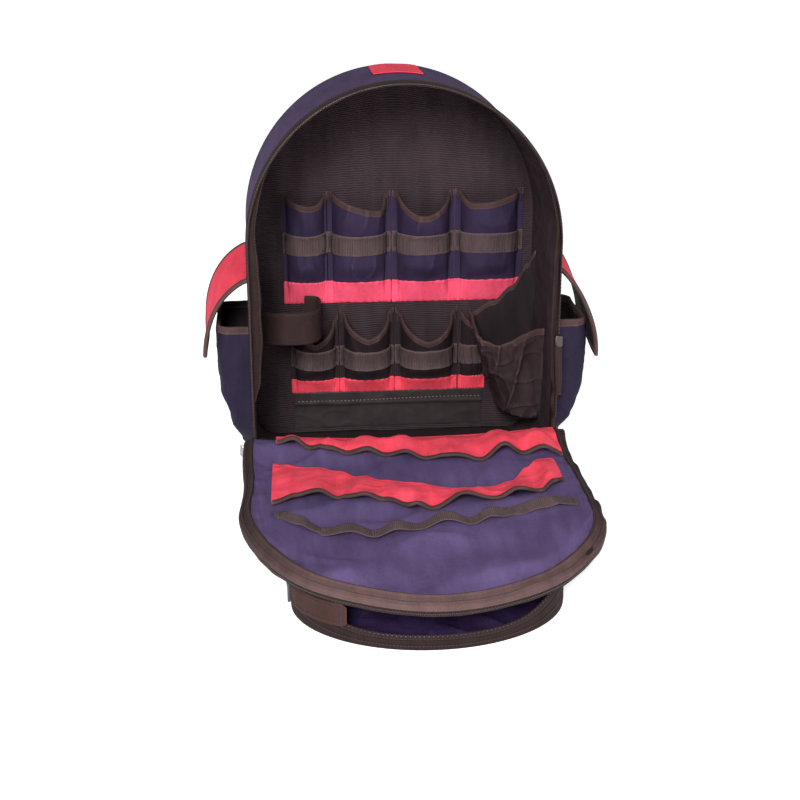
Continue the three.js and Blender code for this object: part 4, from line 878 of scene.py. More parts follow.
def corner_point(u, z):
    up = clamp01((z - CORNER_FOOT_Z) / (CORNER_MOUTH_Z - CORNER_FOOT_Z))
    k = along(CORNER_FORM, "up", "out", up)
    left = lerp(CORNER_LEFT_FOOT, CORNER_LEFT, up)
    back_y = CORNER_BACK_Y - CLOTH - CLEAR
    front_y = WALL_Y - CORNER_DEEP
    right = inner_side(front_y) - CLEAR
    turn = clamp01((u - 0.36) / 0.28) * PI / 2
    x = left + CORNER_R * (1 - cos(turn))
    y = front_y + CORNER_R * (1 - sin(turn))
    y = where(u < 0.36, lerp(back_y, front_y + CORNER_R, u / 0.36), y)
    x = where(u > 0.64, lerp(left + CORNER_R, right, (u - 0.64) / 0.36), x)
    flat_x = lerp(left, inner_side(back_y) - CLEAR, u)
    return points(lerp(flat_x, x, k), lerp(back_y, y, k), z)


def corner_lip(u):
    return CORNER_MOUTH_Z * (1 + along(CORNER_LIP, "share", "rise", u))


def corner_cloth(u, z, lift):
    """The pocket's cloth with its upright folds and creases."""
    p = corner_point(u, z)
    normal = cloth_normal(corner_point, u, z, 0.01, 1)
    up = (z - CORNER_FOOT_Z) / (CORNER_MOUTH_Z - CORNER_FOOT_Z)
    held = smooth(up / 0.25) * smooth(u / 0.1) * smooth((1 - u) / 0.08)
    held = held * (0.35 + 0.65 * smooth((1.1 - up) / 0.4))
    tall = p * [1.0, 1.0, 0.35]
    folds = 3.0 * waves(71, 46)(tall) + 4.6 * creases(72, 46)(tall) - 3.0 + 2.2 * creases(73, 30)(p)
    return p + normal * (held * folds + lift)[..., None], normal


def build_corner():
    u, v = grid(steps(60), steps(60))
    top = lerp(CORNER_MOUTH_Z, CORNER_TOP_Z, along(CORNER_SLOPE, "across", "rise", u))
    z = lerp(CORNER_FOOT_Z, top - CLOTH_TOP, v)
    up = clamp01((z - CORNER_FOOT_Z) / (CORNER_MOUTH_Z - CORNER_FOOT_Z))
    x = lerp(lerp(CORNER_LEFT_FOOT, CORNER_LEFT, up), inner_side(CORNER_BACK_Y) - CLEAR, u)
    y = CORNER_BACK_Y + 0.8 * waves(70, 50)(points(x, 0, z))
    back = slab(points(x, y - FACE, z), points(x, y + FACE, z))
    piece("corner_back_cloth", back, black, "corner_pocket_back")
    back_trim = edge_tape(points(x[:, -1], y[:, -1], top[:, 0]), -UP, AHEAD, 6, 3.6)

    us = join([steps(32, 0, 0.34), steps(30, 0.35, 0.65), steps(36, 0.66)])
    u, v = grid(us, steps(76) ** 1.15)
    pocket = shell(corner_cloth, u, lerp(CORNER_FOOT_Z, corner_lip(u) - CLOTH_TOP, v), FACE, -FACE)
    piece("corner_pocket_cloth", pocket, (corner_black_highlit, black), "corner_pocket")
    trim, seam = hem(corner_cloth, us, corner_lip(us), BINDING_W, HEM_T, BINDING_W - 1.2)
    piece("corner_pocket_binding", [back_trim, trim], tape, "corner_binding")
    zs = steps(60, CORNER_FOOT_Z + 10, CORNER_MOUTH_Z - 12)
    seams = [seam] + [stitches(*corner_cloth(across, zs, FACE + 0.1)) for across in (0.02, 0.05)]
    piece("corner_pocket_stitches", seams, dark_thread, slot="black_fabric")


STRAP_PATH = [
    (-0.999, 0.42), (-0.99, 0.14), (-0.935, -0.04), (-0.78, -0.13), (-0.64, -0.08), (-0.55, 0.14),
    (-0.535, 0.5), (-0.53, 0.78), (-0.56, 0.87), (-0.63, 0.88),
]


def spline(knots, n):
    """A smooth line through the knots."""
    knots = np.asarray(knots, float)
    ends = join([[2 * knots[0] - knots[1]], knots, [2 * knots[-1] - knots[-2]]])
    at = np.linspace(0, len(knots) - 1 - 1e-9, n)
    i = at.astype(int)
    t = (at - i)[:, None]
    a, b, c, d = ends[i], ends[i + 1], ends[i + 2], ends[i + 3]
    return 0.5 * (2 * b + (c - a) * t + (2 * a - 5 * b + 4 * c - d) * t**2 + (3 * b - a - 3 * c + d) * t**3)


def build_tool_strap():
    knots = []
    for across, back in STRAP_PATH:
        y = back * WALL_Y
        knots.append((across * (inner_side(y) - CLEAR - STRAP_T / 2), y, 0))
    route = spline(knots, 130)
    v = steps(16, -0.5, 0.5)
    middle = stack([route + UP * (STRAP_Z + a * STRAP_W) for a in v], axis=1)
    middle[..., 2] += 0.8 * sin(steps(130, 0, 7))[:, None]
    thick = broadcast_to(STRAP_T * (1 - 0.35 * abs(2 * v) ** 8), middle.shape[:2])
    piece("tool_strap_webbing", sheet(middle, thick, 0.5 * waves(95, 40)(middle)), webbing, "tool_strap")
    normal = grid_normals(middle)
    seams = []
    for j in (1, 14):
        for out in (normal[:, j], -normal[:, j]):
            seams.append(stitches(middle[:, j] + out * (STRAP_T / 2 - 0.1), out, TIGHT))
    piece("tool_strap_stitches", seams, dark_thread)


build_pocket_row(UPPER)
build_pocket_row(LOWER)
build_wall_strip()
build_corner()
build_tool_strap()

# Pockets on the body's sides and the flaps over them
SIDE_FORM = table("up out", [(0, 0), (0.07, 0.26), (0.24, 0.58), (0.5, 0.83), (0.78, 0.87), (1, 0.8)])
SIDE_FLARE = 1.6


def side_point(sign, u, z):
    up = clamp01((z - SIDE_FOOT_Z) / (SIDE_MOUTH_Z - SIDE_FOOT_Z))
    k = along(SIDE_FORM, "up", "out", up)
    near = CLEAR + CLOTH / 2
    mirrored = minimum(u, 1 - u)
    turn = clamp01((mirrored - 0.24) / 0.12) * PI / 2
    out = SIDE_OUT - SIDE_R * (1 - sin(turn))
    edge_in = SIDE_R * (1 - cos(turn))
    half_run = (SIDE_BACK_Y - SIDE_FRONT_Y) / 2
    out = where(mirrored < 0.24, lerp(near, SIDE_OUT - SIDE_R, mirrored / 0.24), out)
    edge_in = where(mirrored > 0.36, lerp(SIDE_R, half_run, (mirrored - 0.36) / 0.14), edge_in)
    edge = lerp(mirrored * 2 * half_run, edge_in, clamp01(k * SIDE_FLARE))
    y = where(u > 0.5, SIDE_BACK_Y - edge, SIDE_FRONT_Y + edge)
    return points(sign * (outer_side(y) + lerp(near, out, k)), y, z)


def side_cloth(sign, u, z, lift):
    p = side_point(sign, u, z)
    normal = cloth_normal(lambda u, z: side_point(sign, u, z), u, z, 0.008, 1) * sign
    up = clamp01((z - SIDE_FOOT_Z) / (SIDE_MOUTH_Z - SIDE_FOOT_Z))
    tall = p * [1.0, 1.0, 0.16]
    seed = 100 if sign < 0 else 110
    folds = 1.5 * waves(seed, 44)(tall) + 2.2 * creases(seed + 1, 46)(tall) - 1.8
    folds = folds + 0.8 * creases(seed + 2, 30)(p)
    held = smooth(up / 0.3) * smooth(minimum(u, 1 - u) / 0.1) * (0.4 + 0.6 * smooth((1 - up) / 0.25))
    return p + normal * (held * folds + lift)[..., None], normal


FLAPS = [
    Namespace(side="left", sign=-1, front=254, back=274, reach=52, drop=90, bow=2, hang=1.3),
    Namespace(side="right", sign=1, front=262, back=282, reach=52, drop=110, bow=1.7, hang=1.2),
]


def border(rows, deep):
    """The row of points deep steps in from a grid's two ends and its far side."""
    return join([rows[:, deep], rows[-1 - deep, 1:-1], rows[::-1, -1 - deep]])


def build_side(flap):
    side, sign = flap.side, flap.sign
    spans = [(26, 0, 0.22), (18, 0.23, 0.37), (30, 0.38, 0.62), (18, 0.63, 0.77), (26, 0.78, 1)]
    us = join([steps(*span) for span in spans])

    def cloth(u, z, lift):
        return side_cloth(sign, u, z, lift)

    u, v = grid(us, steps(70) ** 1.1)
    pocket = shell(cloth, u, lerp(SIDE_FOOT_Z, SIDE_MOUTH_Z - CLOTH_TOP, v), FACE, -FACE)
    piece(f"side_pocket_{side}_cloth", pocket, (navy_side, black, navy_side), f"side_pocket_{side}")
    trim, seam = hem(cloth, us, SIDE_MOUTH_Z, BINDING_W + 1, HEM_T, 7)
    piece(f"side_pocket_{side}_binding", trim, tape, f"side_binding_{side}")

    u, v = grid(steps(FLAP_ROWS), steps(FLAP_COLUMNS))
    y = lerp(SIDE_FRONT_Y, SIDE_BACK_Y, v)
    out = FLAP_SEAM + flap.reach * (1 - maximum(0, 1 - u) ** flap.bow)
    z = lerp(flap.front, flap.back, v) - flap.drop * u ** flap.hang
    middle = points(sign * (outer_side(y) + out), y, z)
    droop = 1.6 * waves(120 + sign, 80)(middle) * smooth(u / 0.3)
    middle += points(sign * (droop * 0.7 - 0.6 * u), 0, -droop * 0.5 - 1.2 * u * sin(PI * v))
    normal = grid_normals(middle)
    if normal[10, FLAP_COLUMNS // 2, 2] < 0:
        normal = -normal
    flat = slab(middle + normal * FLAP_T / 2, middle - normal * FLAP_T / 2)
    made = piece(f"side_flap_{side}_cloth", flat, (red, black, tape), f"side_flap_{side}")
    edge, edge_normal = border(middle, 0), border(normal, 0)
    into = unit(border(middle, 1) - edge)
    for _ in range(3):
        into[1:-1] = unit(into[:-2] + into[1:-1] + into[2:])
    trim = piece(f"side_flap_{side}_binding", edge_tape(edge, into, edge_normal, 6, FLAP_T + 1.4), tape)
    line = edge + into * 5.0 + edge_normal * (FLAP_T / 2 + 0.6)
    piece(f"side_{side}_stitches", [seam, stitches(line, edge_normal, FINE)], dark_thread, slot="binding")


for flap in FLAPS:
    build_side(flap)

# Door, face up in front of the sill, with soft dents that everything sewn on it follows
HINGE_INSIDE, HINGE_FOLD, HINGE_END = 16, 1.2, 4
door_broad = waves(130, 105)
door_small = waves(131, 42)
door_crease = creases(132, 95)
door_pucker = waves(133, 20)


def hinge_z(x):
    return sill_top(x) + CLEAR + CLOTH / 2


def door_front_y(u):
    return DOOR_BACK_Y - DOOR_STRAIGHT - (DOOR_L - DOOR_STRAIGHT) * sqrt(maximum(0, 1 - u * u))


def door_z(x, y):
    return lerp(hinge_z(x), DOOR_Z, smooth((DOOR_BACK_Y - y) / HINGE_RUN))


def door_swell(x, y):
    """How far the door's cloth stands up or sinks at a place."""
    u = clamp01(abs(x - PANEL_X) / PANEL_HALF)
    from_edge = minimum((1 - u) * PANEL_HALF, y - door_front_y(u))
    rim = smooth(from_edge / 26) * smooth((DOOR_BACK_Y - y) / 20)
    p = points(x, y, 0 * x)
    swell = rim * (1.2 + 3.4 * door_broad(p) + 1.1 * door_small(p) + 2.8 * door_crease(p))
    return swell + 1.0 * door_pucker(p) * hump(from_edge, 9, 8) * smooth((DOOR_BACK_Y - y) / 20)


def build_door():
    u, v = grid(sin(steps(130, -1, 1) * PI / 2), steps(100))
    x = PANEL_X + u * PANEL_HALF
    y = lerp(DOOR_BACK_Y, door_front_y(u), v)
    z, swell = door_z(x, y), door_swell(x, y)
    panel = slab(points(x, y, z + DOOR_T / 2 + swell), points(x, y, z - DOOR_T / 2 + minimum(swell, 0)))
    piece("door_cloth", panel, (navy, navy_dark, navy), "door_panel")

    # Hinge cloth over the sill
    half = RIM_W / 2 - RIM_TAPE_T - HINGE_END
    inside = -HALF_D + WALL + CLEAR + CLOTH / 2
    run = spline([
        (inside, HINGE_INSIDE, 0), (inside, 6, 0), (inside, HINGE_FOLD + 1, 0), (inside - 0.5, 0.5, 0),
        (inside - HINGE_FOLD, 0, 0), (-101, -0.2, 0), (DOOR_BACK_Y + CLEAR, 0, 0),
    ], 30)
    x = steps(120, -half, half)
    middle = points(x, run[:, :1], hinge_z(x) - run[:, 1:2])
    middle[..., 2] += 0.4 * waves(135, 30)(middle)
    piece("door_hinge_cloth", sheet(middle, CLOTH), black, "door_hinge")


def door_edge(n):
    """Places round the door's edge with the direction that points out of the door."""
    straight, still = np.ones(40), np.zeros(40)
    side_y = DOOR_BACK_Y - steps(40, 0, 0.98) * DOOR_STRAIGHT
    u = sin(steps(n, -1, 1) * PI / 2)
    slope = -sqrt(maximum(0, 1 - u * u)) / (DOOR_L - DOOR_STRAIGHT)
    length = hypot(u / PANEL_HALF, slope)
    x = PANEL_X + PANEL_HALF * join([-straight, u, straight])
    y = join([side_y, door_front_y(u), side_y[::-1]])
    out_x = join([-straight, u / PANEL_HALF / length, straight])
    return x, y, out_x, join([still, slope / length, still])


BAND_FORM = table("share out drop", [(0, 0, 0), (0.4, 0.55, 0.06), (0.75, 0.9, 0.42), (1, 1, 1)])


def build_door_edge():
    x, y, out_x, out_y = [column[:, None] for column in door_edge(240)]
    level, route = door_z(x, y), points(x, y, 0)
    share = lerp(lerp(-0.12, -0.5, smooth((-HEM_WIDENS_Y - y) / HEM_WIDENS_RUN)), 1, steps(26))
    on_hem, past_edge = share < 0, clamp01(share)
    crumple, sway = waves(140, 26)(route), 1.3 * waves(141, 90)(route)
    lift = where(on_hem, 1.7, 1.3) - 0.9 * hump(share, 0.36, 0.05) + 1.3 * hump(share, -0.1, 0.2)
    lift = lift + (0.7 + 1.6 * smooth((x - 40) / 60)) * crumple * hump(share, 0.5, 0.35)
    outs = sway + BAND_OUT * where(on_hem, share, along(BAND_FORM, "share", "out", past_edge))
    outs = outs + CLEAR * (1 + minimum(share, 0))
    drop = BAND_DROP * along(BAND_FORM, "share", "drop", past_edge)
    lean = past_edge * 1.25

    def face(push, up):
        out = outs + sin(lean) * push
        return points(x + out_x * out, y + out_y * out, level - drop + cos(lean) * push + up)

    outer = face(lift, where(on_hem, 1.2, 1.2 * hump(share, 0, 0.2)))
    band = slab(outer, face(-1.1, where(on_hem, 1.2, 0)))
    piece("door_edge_band", band, (band_tape, rim_tape, rim_tape), "door_band")
    normal = grid_normals(outer)
    if normal[len(x) // 2, 4, 2] < 0:
        normal = -normal
    seams = [stitches(outer[:, j] - normal[:, j] * 0.1, normal[:, j]) for j in (3, 16)]
    piece("door_edge_stitches", seams, dark_thread, slot="binding")

    # Zip under the band: tape and teeth
    v = steps(6)
    out = sway + BAND_OUT - 0.4 + 0.5 * crumple * v
    p = points(x + out_x * out, y + out_y * out, level - (BAND_DROP - 0.6 + v * (DOOR_COIL_W + 2)))
    side = points(out_x, out_y, 0)
    zip_tape = slab(p + side * 0.8, p - side * 0.8)
    piece("door_zip_tape", zip_tape, rim_tape, "door_zipper", "zip_tape")
    piece("door_zip_teeth", teeth(p[:, 3] + side[:, 0] * 0.7, UP, side[:, 0], DOOR_ZIP), coil)


DOOR_UPPER = table("x back front lift", [(x, -0.012, front, lift) for x, front, lift in [
    (-0.85, 0.05, 0.05), (-0.745, 0.054, 0.45), (-0.64, 0.07, 0.03), (-0.52, 0.098, 0.3), (-0.4, 0.115, 0.03),
    (-0.29, 0.13, 0.5), (-0.175, 0.137, 0.03), (-0.06, 0.16, 0.45), (0.075, 0.175, 0.03), (0.24, 0.19, 0.4),
    (0.415, 0.195, 0.03), (0.55, 0.19, 0.9), (0.675, 0.165, 0.03), (0.8, 0.175, 0.7), (0.93, 0.155, 0.05),
]])
DOOR_LOWER = table("x back front lift", [
    (-0.87, 0.14, 0.455, 0.05), (-0.74, 0.165, 0.435, 0.35), (-0.6, 0.18, 0.415, 0.5),
    (-0.49, 0.205, 0.45, 0.03), (-0.36, 0.26, 0.465, 0.35), (-0.23, 0.315, 0.47, 0.03),
    (-0.08, 0.355, 0.54, 0.5), (0.03, 0.375, 0.53, 0.03), (0.23, 0.375, 0.48, 0.5), (0.4, 0.365, 0.485, 0.03),
    (0.54, 0.33, 0.49, 0.5), (0.66, 0.265, 0.455, 0.03), (0.77, 0.2, 0.405, 0.4), (0.84, 0.19, 0.36, 0.05),
])


def strip_point(rows, share, v, seed):
    x = DOOR_X + share * DOOR_HALF
    y = DOOR_BACK_Y - DOOR_L * lerp(along(rows, "x", "back", share), along(rows, "x", "front", share), v)
    lift = DOOR_POCKET_LIFT * along(rows, "x", "lift", share) * sin(v * PI / 2)
    rest = door_z(x, y) + DOOR_T / 2 + 2 * CLEAR + CLOTH / 2 + maximum(door_swell(x, y), -1)
    p = points(x, y, rest + lift)
    crumple = 0.4 + 0.8 * waves(seed, 40)(p) + 1.0 * creases(seed + 1, 44)(p)
    p[..., 2] += crumple * smooth(v / 0.2) * (0.4 + 0.6 * smooth((1 - v) / 0.15))
    return p


def build_door_pocket(name, rows, seed):
    s, v = grid(steps(170, rows["x"][0], rows["x"][-1]), steps(28))
    p = strip_point(rows, s, v, seed)
    piece(f"door_{name}_pocket_cloth", slab(p + UP * 0.8, p - UP * 0.8), (door_red_lit_band, red_shaded_under, door_red_lit_band),
          f"door_pocket_{name}")
    edge, normal, into = p[:, -1], grid_normals(p)[:, -1], unit(p[:, -3] - p[:, -1])
    normal = normal * np.sign(normal[:, 2:3])
    piece(f"door_{name}_pocket_binding", edge_tape(edge - into * 0.9, into, normal, 5.5, 3.4), tape)
    seams = [stitches(edge + into * 5.6 + normal, normal, SMALL), stitches(p[:, 1] + UP * 0.9, UP, SMALL)]
    for across in rows["x"][rows["lift"] < 0.06]:
        line = strip_point(rows, across, steps(40, 0.04, 0.98), seed) + UP * 0.9
        seams.append(stitches(line, UP, SMALL))
    piece(f"door_{name}_pocket_stitches", seams, red_thread)


DOOR_LOOPS = table("x down lift", [
    (-0.84, 0.525, 0), (-0.72, 0.575, 0.6), (-0.59, 0.625, 0), (-0.45, 0.63, 0.9), (-0.32, 0.645, 0),
    (-0.19, 0.63, 1), (-0.06, 0.62, 0), (0.075, 0.6, 1), (0.21, 0.61, 0), (0.34, 0.585, 0.9),
    (0.47, 0.56, 0), (0.65, 0.53, 0.6), (0.85, 0.5, 0),
])


def loop_point(share, v):
    x = DOOR_X + share * DOOR_HALF
    y = DOOR_BACK_Y - DOOR_L * along(DOOR_LOOPS, "x", "down", share) + (0.5 - v) * (DOOR_ELASTIC_W - 4)
    lift = DOOR_ELASTIC_LIFT * 0.5 * along(DOOR_LOOPS, "x", "lift", share)
    # A standing loop tips forward, so its front edge stays lower than its back edge
    tip = lift * 0.35 * (v - 0.5)
    rest = door_z(x, y) + DOOR_T / 2 + CLEAR + ELASTIC_T / 2 + maximum(door_swell(x, y), -0.5)
    return points(x, y, rest + lift - tip)


def build_door_elastic():
    s, v = grid(steps(300, -0.84, 0.85), steps(14))
    p = loop_point(s, v)
    p[..., 2] += 0.18 * sin(s * 420) * (1 - abs(2 * v - 1) ** 4)
    up = UP * (ELASTIC_T / 2 - 0.25 * abs(2 * v - 1) ** 6)[..., None]
    piece("door_elastic_loops", slab(p + up, p - up), elastic, "door_elastic")
    tacks = []
    for across in DOOR_LOOPS["x"][DOOR_LOOPS["lift"] == 0]:
        for shift in (-0.006, 0.006):
            line = loop_point(across + shift, steps(30, 0.03, 0.97)) + UP * ELASTIC_T / 2
            tacks.append(teeth(line, RIGHT, UP, LOOP_TACK))
    piece("door_elastic_tacks", tacks, black, slot="elastic")


build_door()
build_door_edge()
build_door_pocket("upper", DOOR_UPPER, 150)
build_door_pocket("lower", DOOR_LOWER, 155)
build_door_elastic()

# Front pocket that the door lies on
RIM_INSET = POCKET_T / 2 + 1


def pocket_front_y(u):
    return POCKET_TURN_Y - (POCKET_L - POCKET_STRAIGHT) * sqrt(maximum(0, 1 - u * u))


def rim_place(u):
    half = POCKET_HALF - RIM_INSET
    reach = POCKET_L - POCKET_STRAIGHT - RIM_INSET
    bow = sqrt(maximum(0, 1 - u * u))
    length = hypot(u / half, bow / reach)
    return POCKET_X + u * half, POCKET_TURN_Y - CLEAR - reach * bow, u / half / length, -bow / reach / length


def build_front_pocket():
    u, v = grid(sin(steps(104, -1, 1) * PI / 2), steps(76))
    x, y = POCKET_X + u * (POCKET_HALF - 2.4), lerp(POCKET_BACK_Y, pocket_front_y(u) + 2.4, v)
    p = points(x, y, 0)
    rim = smooth((1 - abs(u)) / 0.06) * smooth((1 - v) / 0.05) * smooth(v / 0.04)
    crumple = 1.6 + 1.5 * waves(160, 60)(p) + 4.5 * creases(161, 58)(p) + 1.8 * creases(162, 27)(p)
    panel = slab(points(x, y, POCKET_T + rim * crumple), p)
    piece("front_pocket_panel_cloth", panel, (coated_navy, navy), "front_pocket_panel")

    # Wall: up one side, round a corner and along the back, then mirrored
    half, back_y = POCKET_HALF - RIM_INSET, POCKET_BACK_Y - RIM_INSET
    turns = steps(24, PI, PI / 2)
    xs = [full(40, -half), -half + POCKET_R * (1 + cos(turns)), steps(40, -half + POCKET_R, 0)[1:]]
    ys = [steps(41, POCKET_TURN_Y, back_y - POCKET_R)[:-1], back_y - POCKET_R * (1 - sin(turns)),
          full(39, back_y)]
    xs, ys = join(xs), join(ys)
    xs, ys = join([xs, -xs[-2::-1]]), join([ys, ys[-2::-1]])
    way = unit(gradient(stack([xs, ys], axis=1), axis=0))
    out_x, out_y = -way[:, 1:2], way[:, 0:1]
    v = steps(30)
    folds = waves(165, 40)(points(xs, ys, 0))[:, None]
    bulge = (POCKET_BULGE + 1.6 * folds) * sin(PI * v) + 0.8 * sin(PI * 3 * v) * folds

    def wall(push):
        x = POCKET_X + xs[:, None] + out_x * (push + bulge)
        y = ys[:, None] + out_y * (push + bulge)
        return points(x, y, lerp(POCKET_T + CLEAR, door_z(x, y) - DOOR_T / 2 - CLEAR, v))

    piece("front_pocket_wall_cloth", slab(wall(FACE), wall(-FACE)), (navy, coated_navy), "front_pocket_wall")

    # Mouth: a standing tape with a rolled top edge, its zip and its stitches
    us = sin(steps(240, -1, 1) * PI / 2)[:, None]
    x, y, out_x, out_y = rim_place(us)
    v = steps(22)
    climb = abs(us) ** 5
    top = lerp(MOUTH_H, DOOR_Z - DOOR_T / 2 - CLEAR, climb)
    wavy = waves(168, 45)(points(x, y, 0))
    lean = -RIM_LEAN * v * (1 - climb) + 0.5 * wavy * v
    roll = 0.7 * hump(v, 0.93, 0.07) - 0.7 * hump(v, 0.72, 0.03)
    roll = roll - 0.5 * hump(v, 0.35, 0.03) + 0.5 * hump(v, 0.1, 0.1)

    def tape_side(push):
        away = push + lean
        return points(x + out_x * away, y + out_y * away, lerp(POCKET_T * 0.3, top + 0.4 * wavy, v))

    outer = tape_side(POCKET_T / 2 + roll)
    mouth = slab(outer, tape_side(-POCKET_T / 2 - 0.6 * roll))
    piece("front_pocket_mouth_tape", mouth, rim_tape, "front_pocket_rim", "zip_tape")
    side = points(out_x, out_y, 0)[:, 0]
    seams = [stitches(outer[:, j], side) for j in (6, 17)]
    piece("front_pocket_stitches", seams, dark_thread, slot="zip_tape")
    piece("front_pocket_zip_teeth", teeth(tape_side(0)[:, -1], side, UP, MOUTH_ZIP), coil)

    # Strap end sewn along the mouth
    t, v = grid(steps(70), steps(16, -0.5, 0.5))
    x, y, out_x, out_y = rim_place(lerp(TAB_FROM, TAB_TO, t))
    stand = POCKET_T / 2 + 2 * CLEAR + WEB_T / 2 + 0.4 * waves(169, 25)(points(x, y, v * TAB_W))
    z = TAB_Z + TAB_RISE * t + v * TAB_W * (1 - 0.2 * smooth((t - 0.9) / 0.1))

    def strap(push):
        return points(x + out_x * push, y + out_y * push, z)

    face = strap(stand + WEB_T / 2 - 0.35 * abs(2 * v) ** 8)
    piece("pocket_strap_end", slab(face, strap(stand - WEB_T / 2)), tab_webbing, "side_tab")
    out = points(out_x, out_y, 0)
    seams = [stitches(face[:, j], out[:, j]) for j in (2, 13)]
    seams += [stitches(face[i, 2:14], out[i, 2:14]) for i in (3, 60, 64)]
    piece("pocket_strap_stitches", seams, dark_thread)
    bevelled("tab_loop", "pocket_strap_loop", plastic, 0.6)


PAD_ROUTE = table("share x", [(0, 0.27), (0.3, 0.36), (0.65, 0.5), (1, 0.58)])


def webbing_sheet(middle, v):
    """Webbing whose two edges are thinner than its middle."""
    return sheet(middle, WEB_T * (1 - 0.3 * abs(2 * v) ** 8))


def build_strap(side, sign):
    def pad(share, across, lift):
        x = along(PAD_ROUTE, "share", "x", share) * BACK_W / 2 + across * PAD_W * lerp(1, PAD_TAPER, share)
        y = HALF_D + CLEAR + PAD_T / 2 + PAD_STAND * sin(share * PI / 2)
        return points(sign * x, y + lift, lerp(PAD_TOP_Z, PAD_END_Z, share))

    s, a = grid(steps(100), steps(40, -0.5, 0.5))
    edge = clamp01(minimum((0.5 - abs(a)) / 0.14, minimum(s, 1 - s) / 0.06))
    half = PAD_T / 2 * (0.28 + 0.72 * sqrt(edge * (2 - edge)))
    quilt = 1.1 * hump(abs(a), 0.2, 0.02) + 0.9 * hump((s * 7) % 1, 0.5, 0.05) * (abs(a) < 0.2)
    made = piece(f"shoulder_pad_{side}", slab(pad(s, a, half - quilt * edge), pad(s, a, -half)),
                 (black, lining, tape), f"shoulder_strap_{side}")
    ring_s = join([steps(60, 0.01, 0.99), full(20, 0.99), steps(60, 0.99, 0.01)])
    ring_a = join([full(60, -0.488), steps(20, -0.488, 0.488), full(60, 0.488)])
    piece(f"shoulder_pad_{side}_binding", rod(pad(ring_s, ring_a, 0.0), PAD_PIPING_R, THIN_SIDES), tape)

    # Webbing sewn down the middle of the pad's outer face, then from the lock to the foot
    s, a = grid(steps(90, 0.03, 0.99), steps(12, -0.5, 0.5))
    base = pad(s, a * WEB_W / PAD_W / lerp(1, PAD_TAPER, s), PAD_T / 2 - 1.6)
    lock_x, lock_y, _ = pad(1.0, 0.0, 0.0)
    u, v = grid(steps(80), steps(12, -0.5, 0.5))
    x = lerp(lock_x, sign * (BACK_W / 2 - FOOT_R - ANCHOR_IN), u) + v * WEB_W
    bow = WEB_BOW * sin(PI * u) * (1 - clamp01((u - 0.85) / 0.15))
    y = lerp(lock_y, HALF_D + CLEAR + WEB_T / 2, smooth(u / 0.85)) + bow
    z = lerp(PAD_END_Z - LOCK_H - 2 * CLEAR + 8, ANCHOR_Z, u)
    web = [slab(base + 1.4 * BEHIND, base), webbing_sheet(points(x, y, z), v)]
    piece(f"strap_webbing_{side}_weave", web, webbing, f"strap_webbing_{side}")
    bevelled(f"ladder_lock_{side}", f"strap_buckle_{side}", plastic, 1.2)
    box_x = array([-1, 1, 1, -1, -1]) * 9.0 + x[-6, 6]
    box_z = array([-1, -1, 1, 1, -1]) * 7.0 + ANCHOR_Z + 9
    box = points(box_x, HALF_D + CLEAR + WEB_T + 0.1, box_z)
    piece(f"strap_webbing_{side}_stitches", stitches(box, BEHIND), dark_thread)


def build_haul_loop():
    u, v = grid(steps(120), steps(14, -0.5, 0.5))
    swing = sin(PI * smooth((u - HAUL_SEWN) / (1 - 2 * HAUL_SEWN)))
    y = HALF_D + CLEAR + WEB_T / 2 + HAUL_REACH * swing
    middle = points(HAUL_SPAN * (u - 0.5), y, BACK_H - HAUL_DOWN + v * HAUL_W - HAUL_SAG * swing)
    piece("haul_loop_webbing", webbing_sheet(middle, v), webbing, "haul_loop")
    rows = []
    for cx in (-43.5, 43.5):
        for turn in (1, -1):
            z = BACK_H - HAUL_DOWN + turn * steps(6, -8, 8)
            rows.append(stitches(points(steps(6, cx - 5, cx + 5), HALF_D + CLEAR + WEB_T, z), BEHIND))
    piece("haul_loop_stitches", rows, dark_thread)


def build_sliders():
    bevelled("zipper_slider_left", "slider_tag_left", metal, 0.7)
    bevelled("zipper_slider_right", "slider_body_right", dark_metal, 1.6)
    top = SLIDER_Z - SLIDER_H / 2 - CLEAR
    u, v = grid(steps(10, -0.5, 0.5), steps(50))
    width = PULL_W * (1 - 0.25 * smooth((v - 0.78) / 0.06))
    x = RIM_W / 2 - RIM_TAPE_T / 2 + u * width + PULL_LEAN * v
    y = -HALF_D - CLEAR - COIL_W - CLEAR - PULL_T - 0.8 * sin(v * PI * 1.3)
    edge = 0.5 * abs(2 * u) ** 6
    face = points(x, y + edge, top - v * PULL_L)
    back = points(x, y + PULL_T - edge * 0.6, top - v * PULL_L)
    piece("slider_pull_right", slab(face, back), webbing, "zipper_pull")
    piece("slider_pull_stitches", stitches(face[5, 3:-3] + 0.1 * AHEAD, AHEAD), dark_thread)


build_front_pocket()
build_strap("left", -1)
build_strap("right", 1)
build_haul_loop()
build_sliders()

# Camera at the photo's place, plain floor and soft light
camera = bpy.data.objects.new("camera", bpy.data.cameras.new("camera"))
bpy.context.scene.collection.objects.link(camera)
camera.location = (-0.1289, -1.4634, 0.572)
camera.rotation_euler = Euler((math.radians(72.3), 0, math.radians(-5.2)))
camera.data.lens = 54.27
camera.data.sensor_width = 36
camera.data.shift_x = -0.0025
camera.data.shift_y = -0.025
camera.data.clip_end = 50
bpy.context.scene.camera = camera

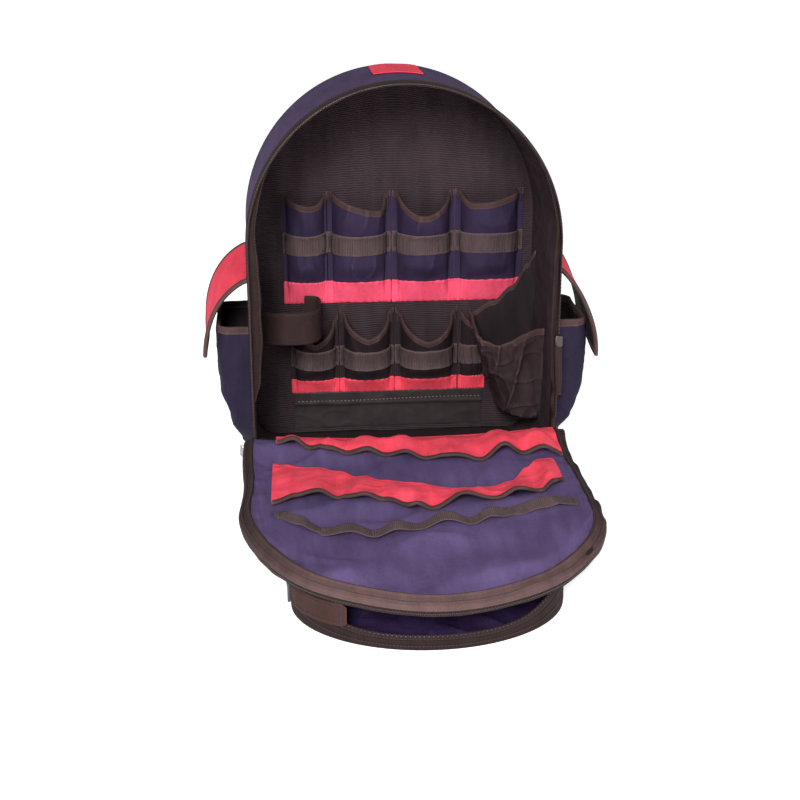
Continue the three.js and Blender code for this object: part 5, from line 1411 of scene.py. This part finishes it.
FLOOR_HALF, FLOOR_DOWN = 12.0, 0.0004
corners = [(x * FLOOR_HALF, y * FLOOR_HALF, -FLOOR_DOWN) for x, y in ((-1, -1), (1, -1), (1, 1), (-1, 1))]
floor_mesh = bpy.data.meshes.new("floor")
floor_mesh.from_pydata(corners, [], [[0, 1, 2, 3]])
floor = bpy.data.objects.new("floor", floor_mesh)
bpy.context.scene.collection.objects.link(floor)
floor_look = Look("pale_floor", None)
speckle = floor_look.noise(30, 3.0)
floor_color = floor_look.mix(speckle, (0.93, 0.93, 0.93, 1), (0.97, 0.97, 0.97, 1))
floor_rough = floor_look.math("ADD", 0.75, floor_look.math("MULTIPLY", speckle, 0.1))
floor_mesh.materials.append(floor_look.finish(floor_color, floor_rough, speckle, 0.02, GRAIN_DEPTH,
                                              Emission_Color=(1, 1, 1, 1), Emission_Strength=0.55))


def area_light(name, spot, size, power):
    lamp = bpy.data.lights.new(name, "AREA")
    lamp.shape = "RECTANGLE"
    lamp.size = lamp.size_y = size
    lamp.energy = power
    obj = bpy.data.objects.new(name, lamp)
    bpy.context.scene.collection.objects.link(obj)
    obj.location = spot
    way = array(LIGHT_AIM) - spot
    flat = math.hypot(way[0], way[1])
    obj.rotation_euler = Euler((math.atan2(flat, -way[2]), 0, math.atan2(way[1], way[0]) - PI / 2))


LIGHT_AIM, SKY_LIGHT, SKY_SEEN = (0, -0.1, 0.2), 0.5, 1.1
area_light("key", (-0.55, -2.45, 1.25), 0.7, 84)
area_light("fill", (1.5, -1.9, 0.9), 1.2, 12)
world = bpy.data.worlds.new("studio")
world.use_nodes = True
sky = world.node_tree.nodes["Background"]
sky.inputs[0].default_value = (1.0, 0.995, 0.99, 1)
ray = world.node_tree.nodes.new("ShaderNodeLightPath")
level = world.node_tree.nodes.new("ShaderNodeMapRange")
level.inputs["To Min"].default_value = SKY_LIGHT
level.inputs["To Max"].default_value = SKY_SEEN
world.node_tree.links.new(ray.outputs["Is Camera Ray"], level.inputs["Value"])
world.node_tree.links.new(level.outputs[0], sky.inputs[1])
bpy.context.scene.world = world
bpy.context.scene.view_settings.view_transform = "Standard"
bpy.context.scene.view_settings.look = "None"
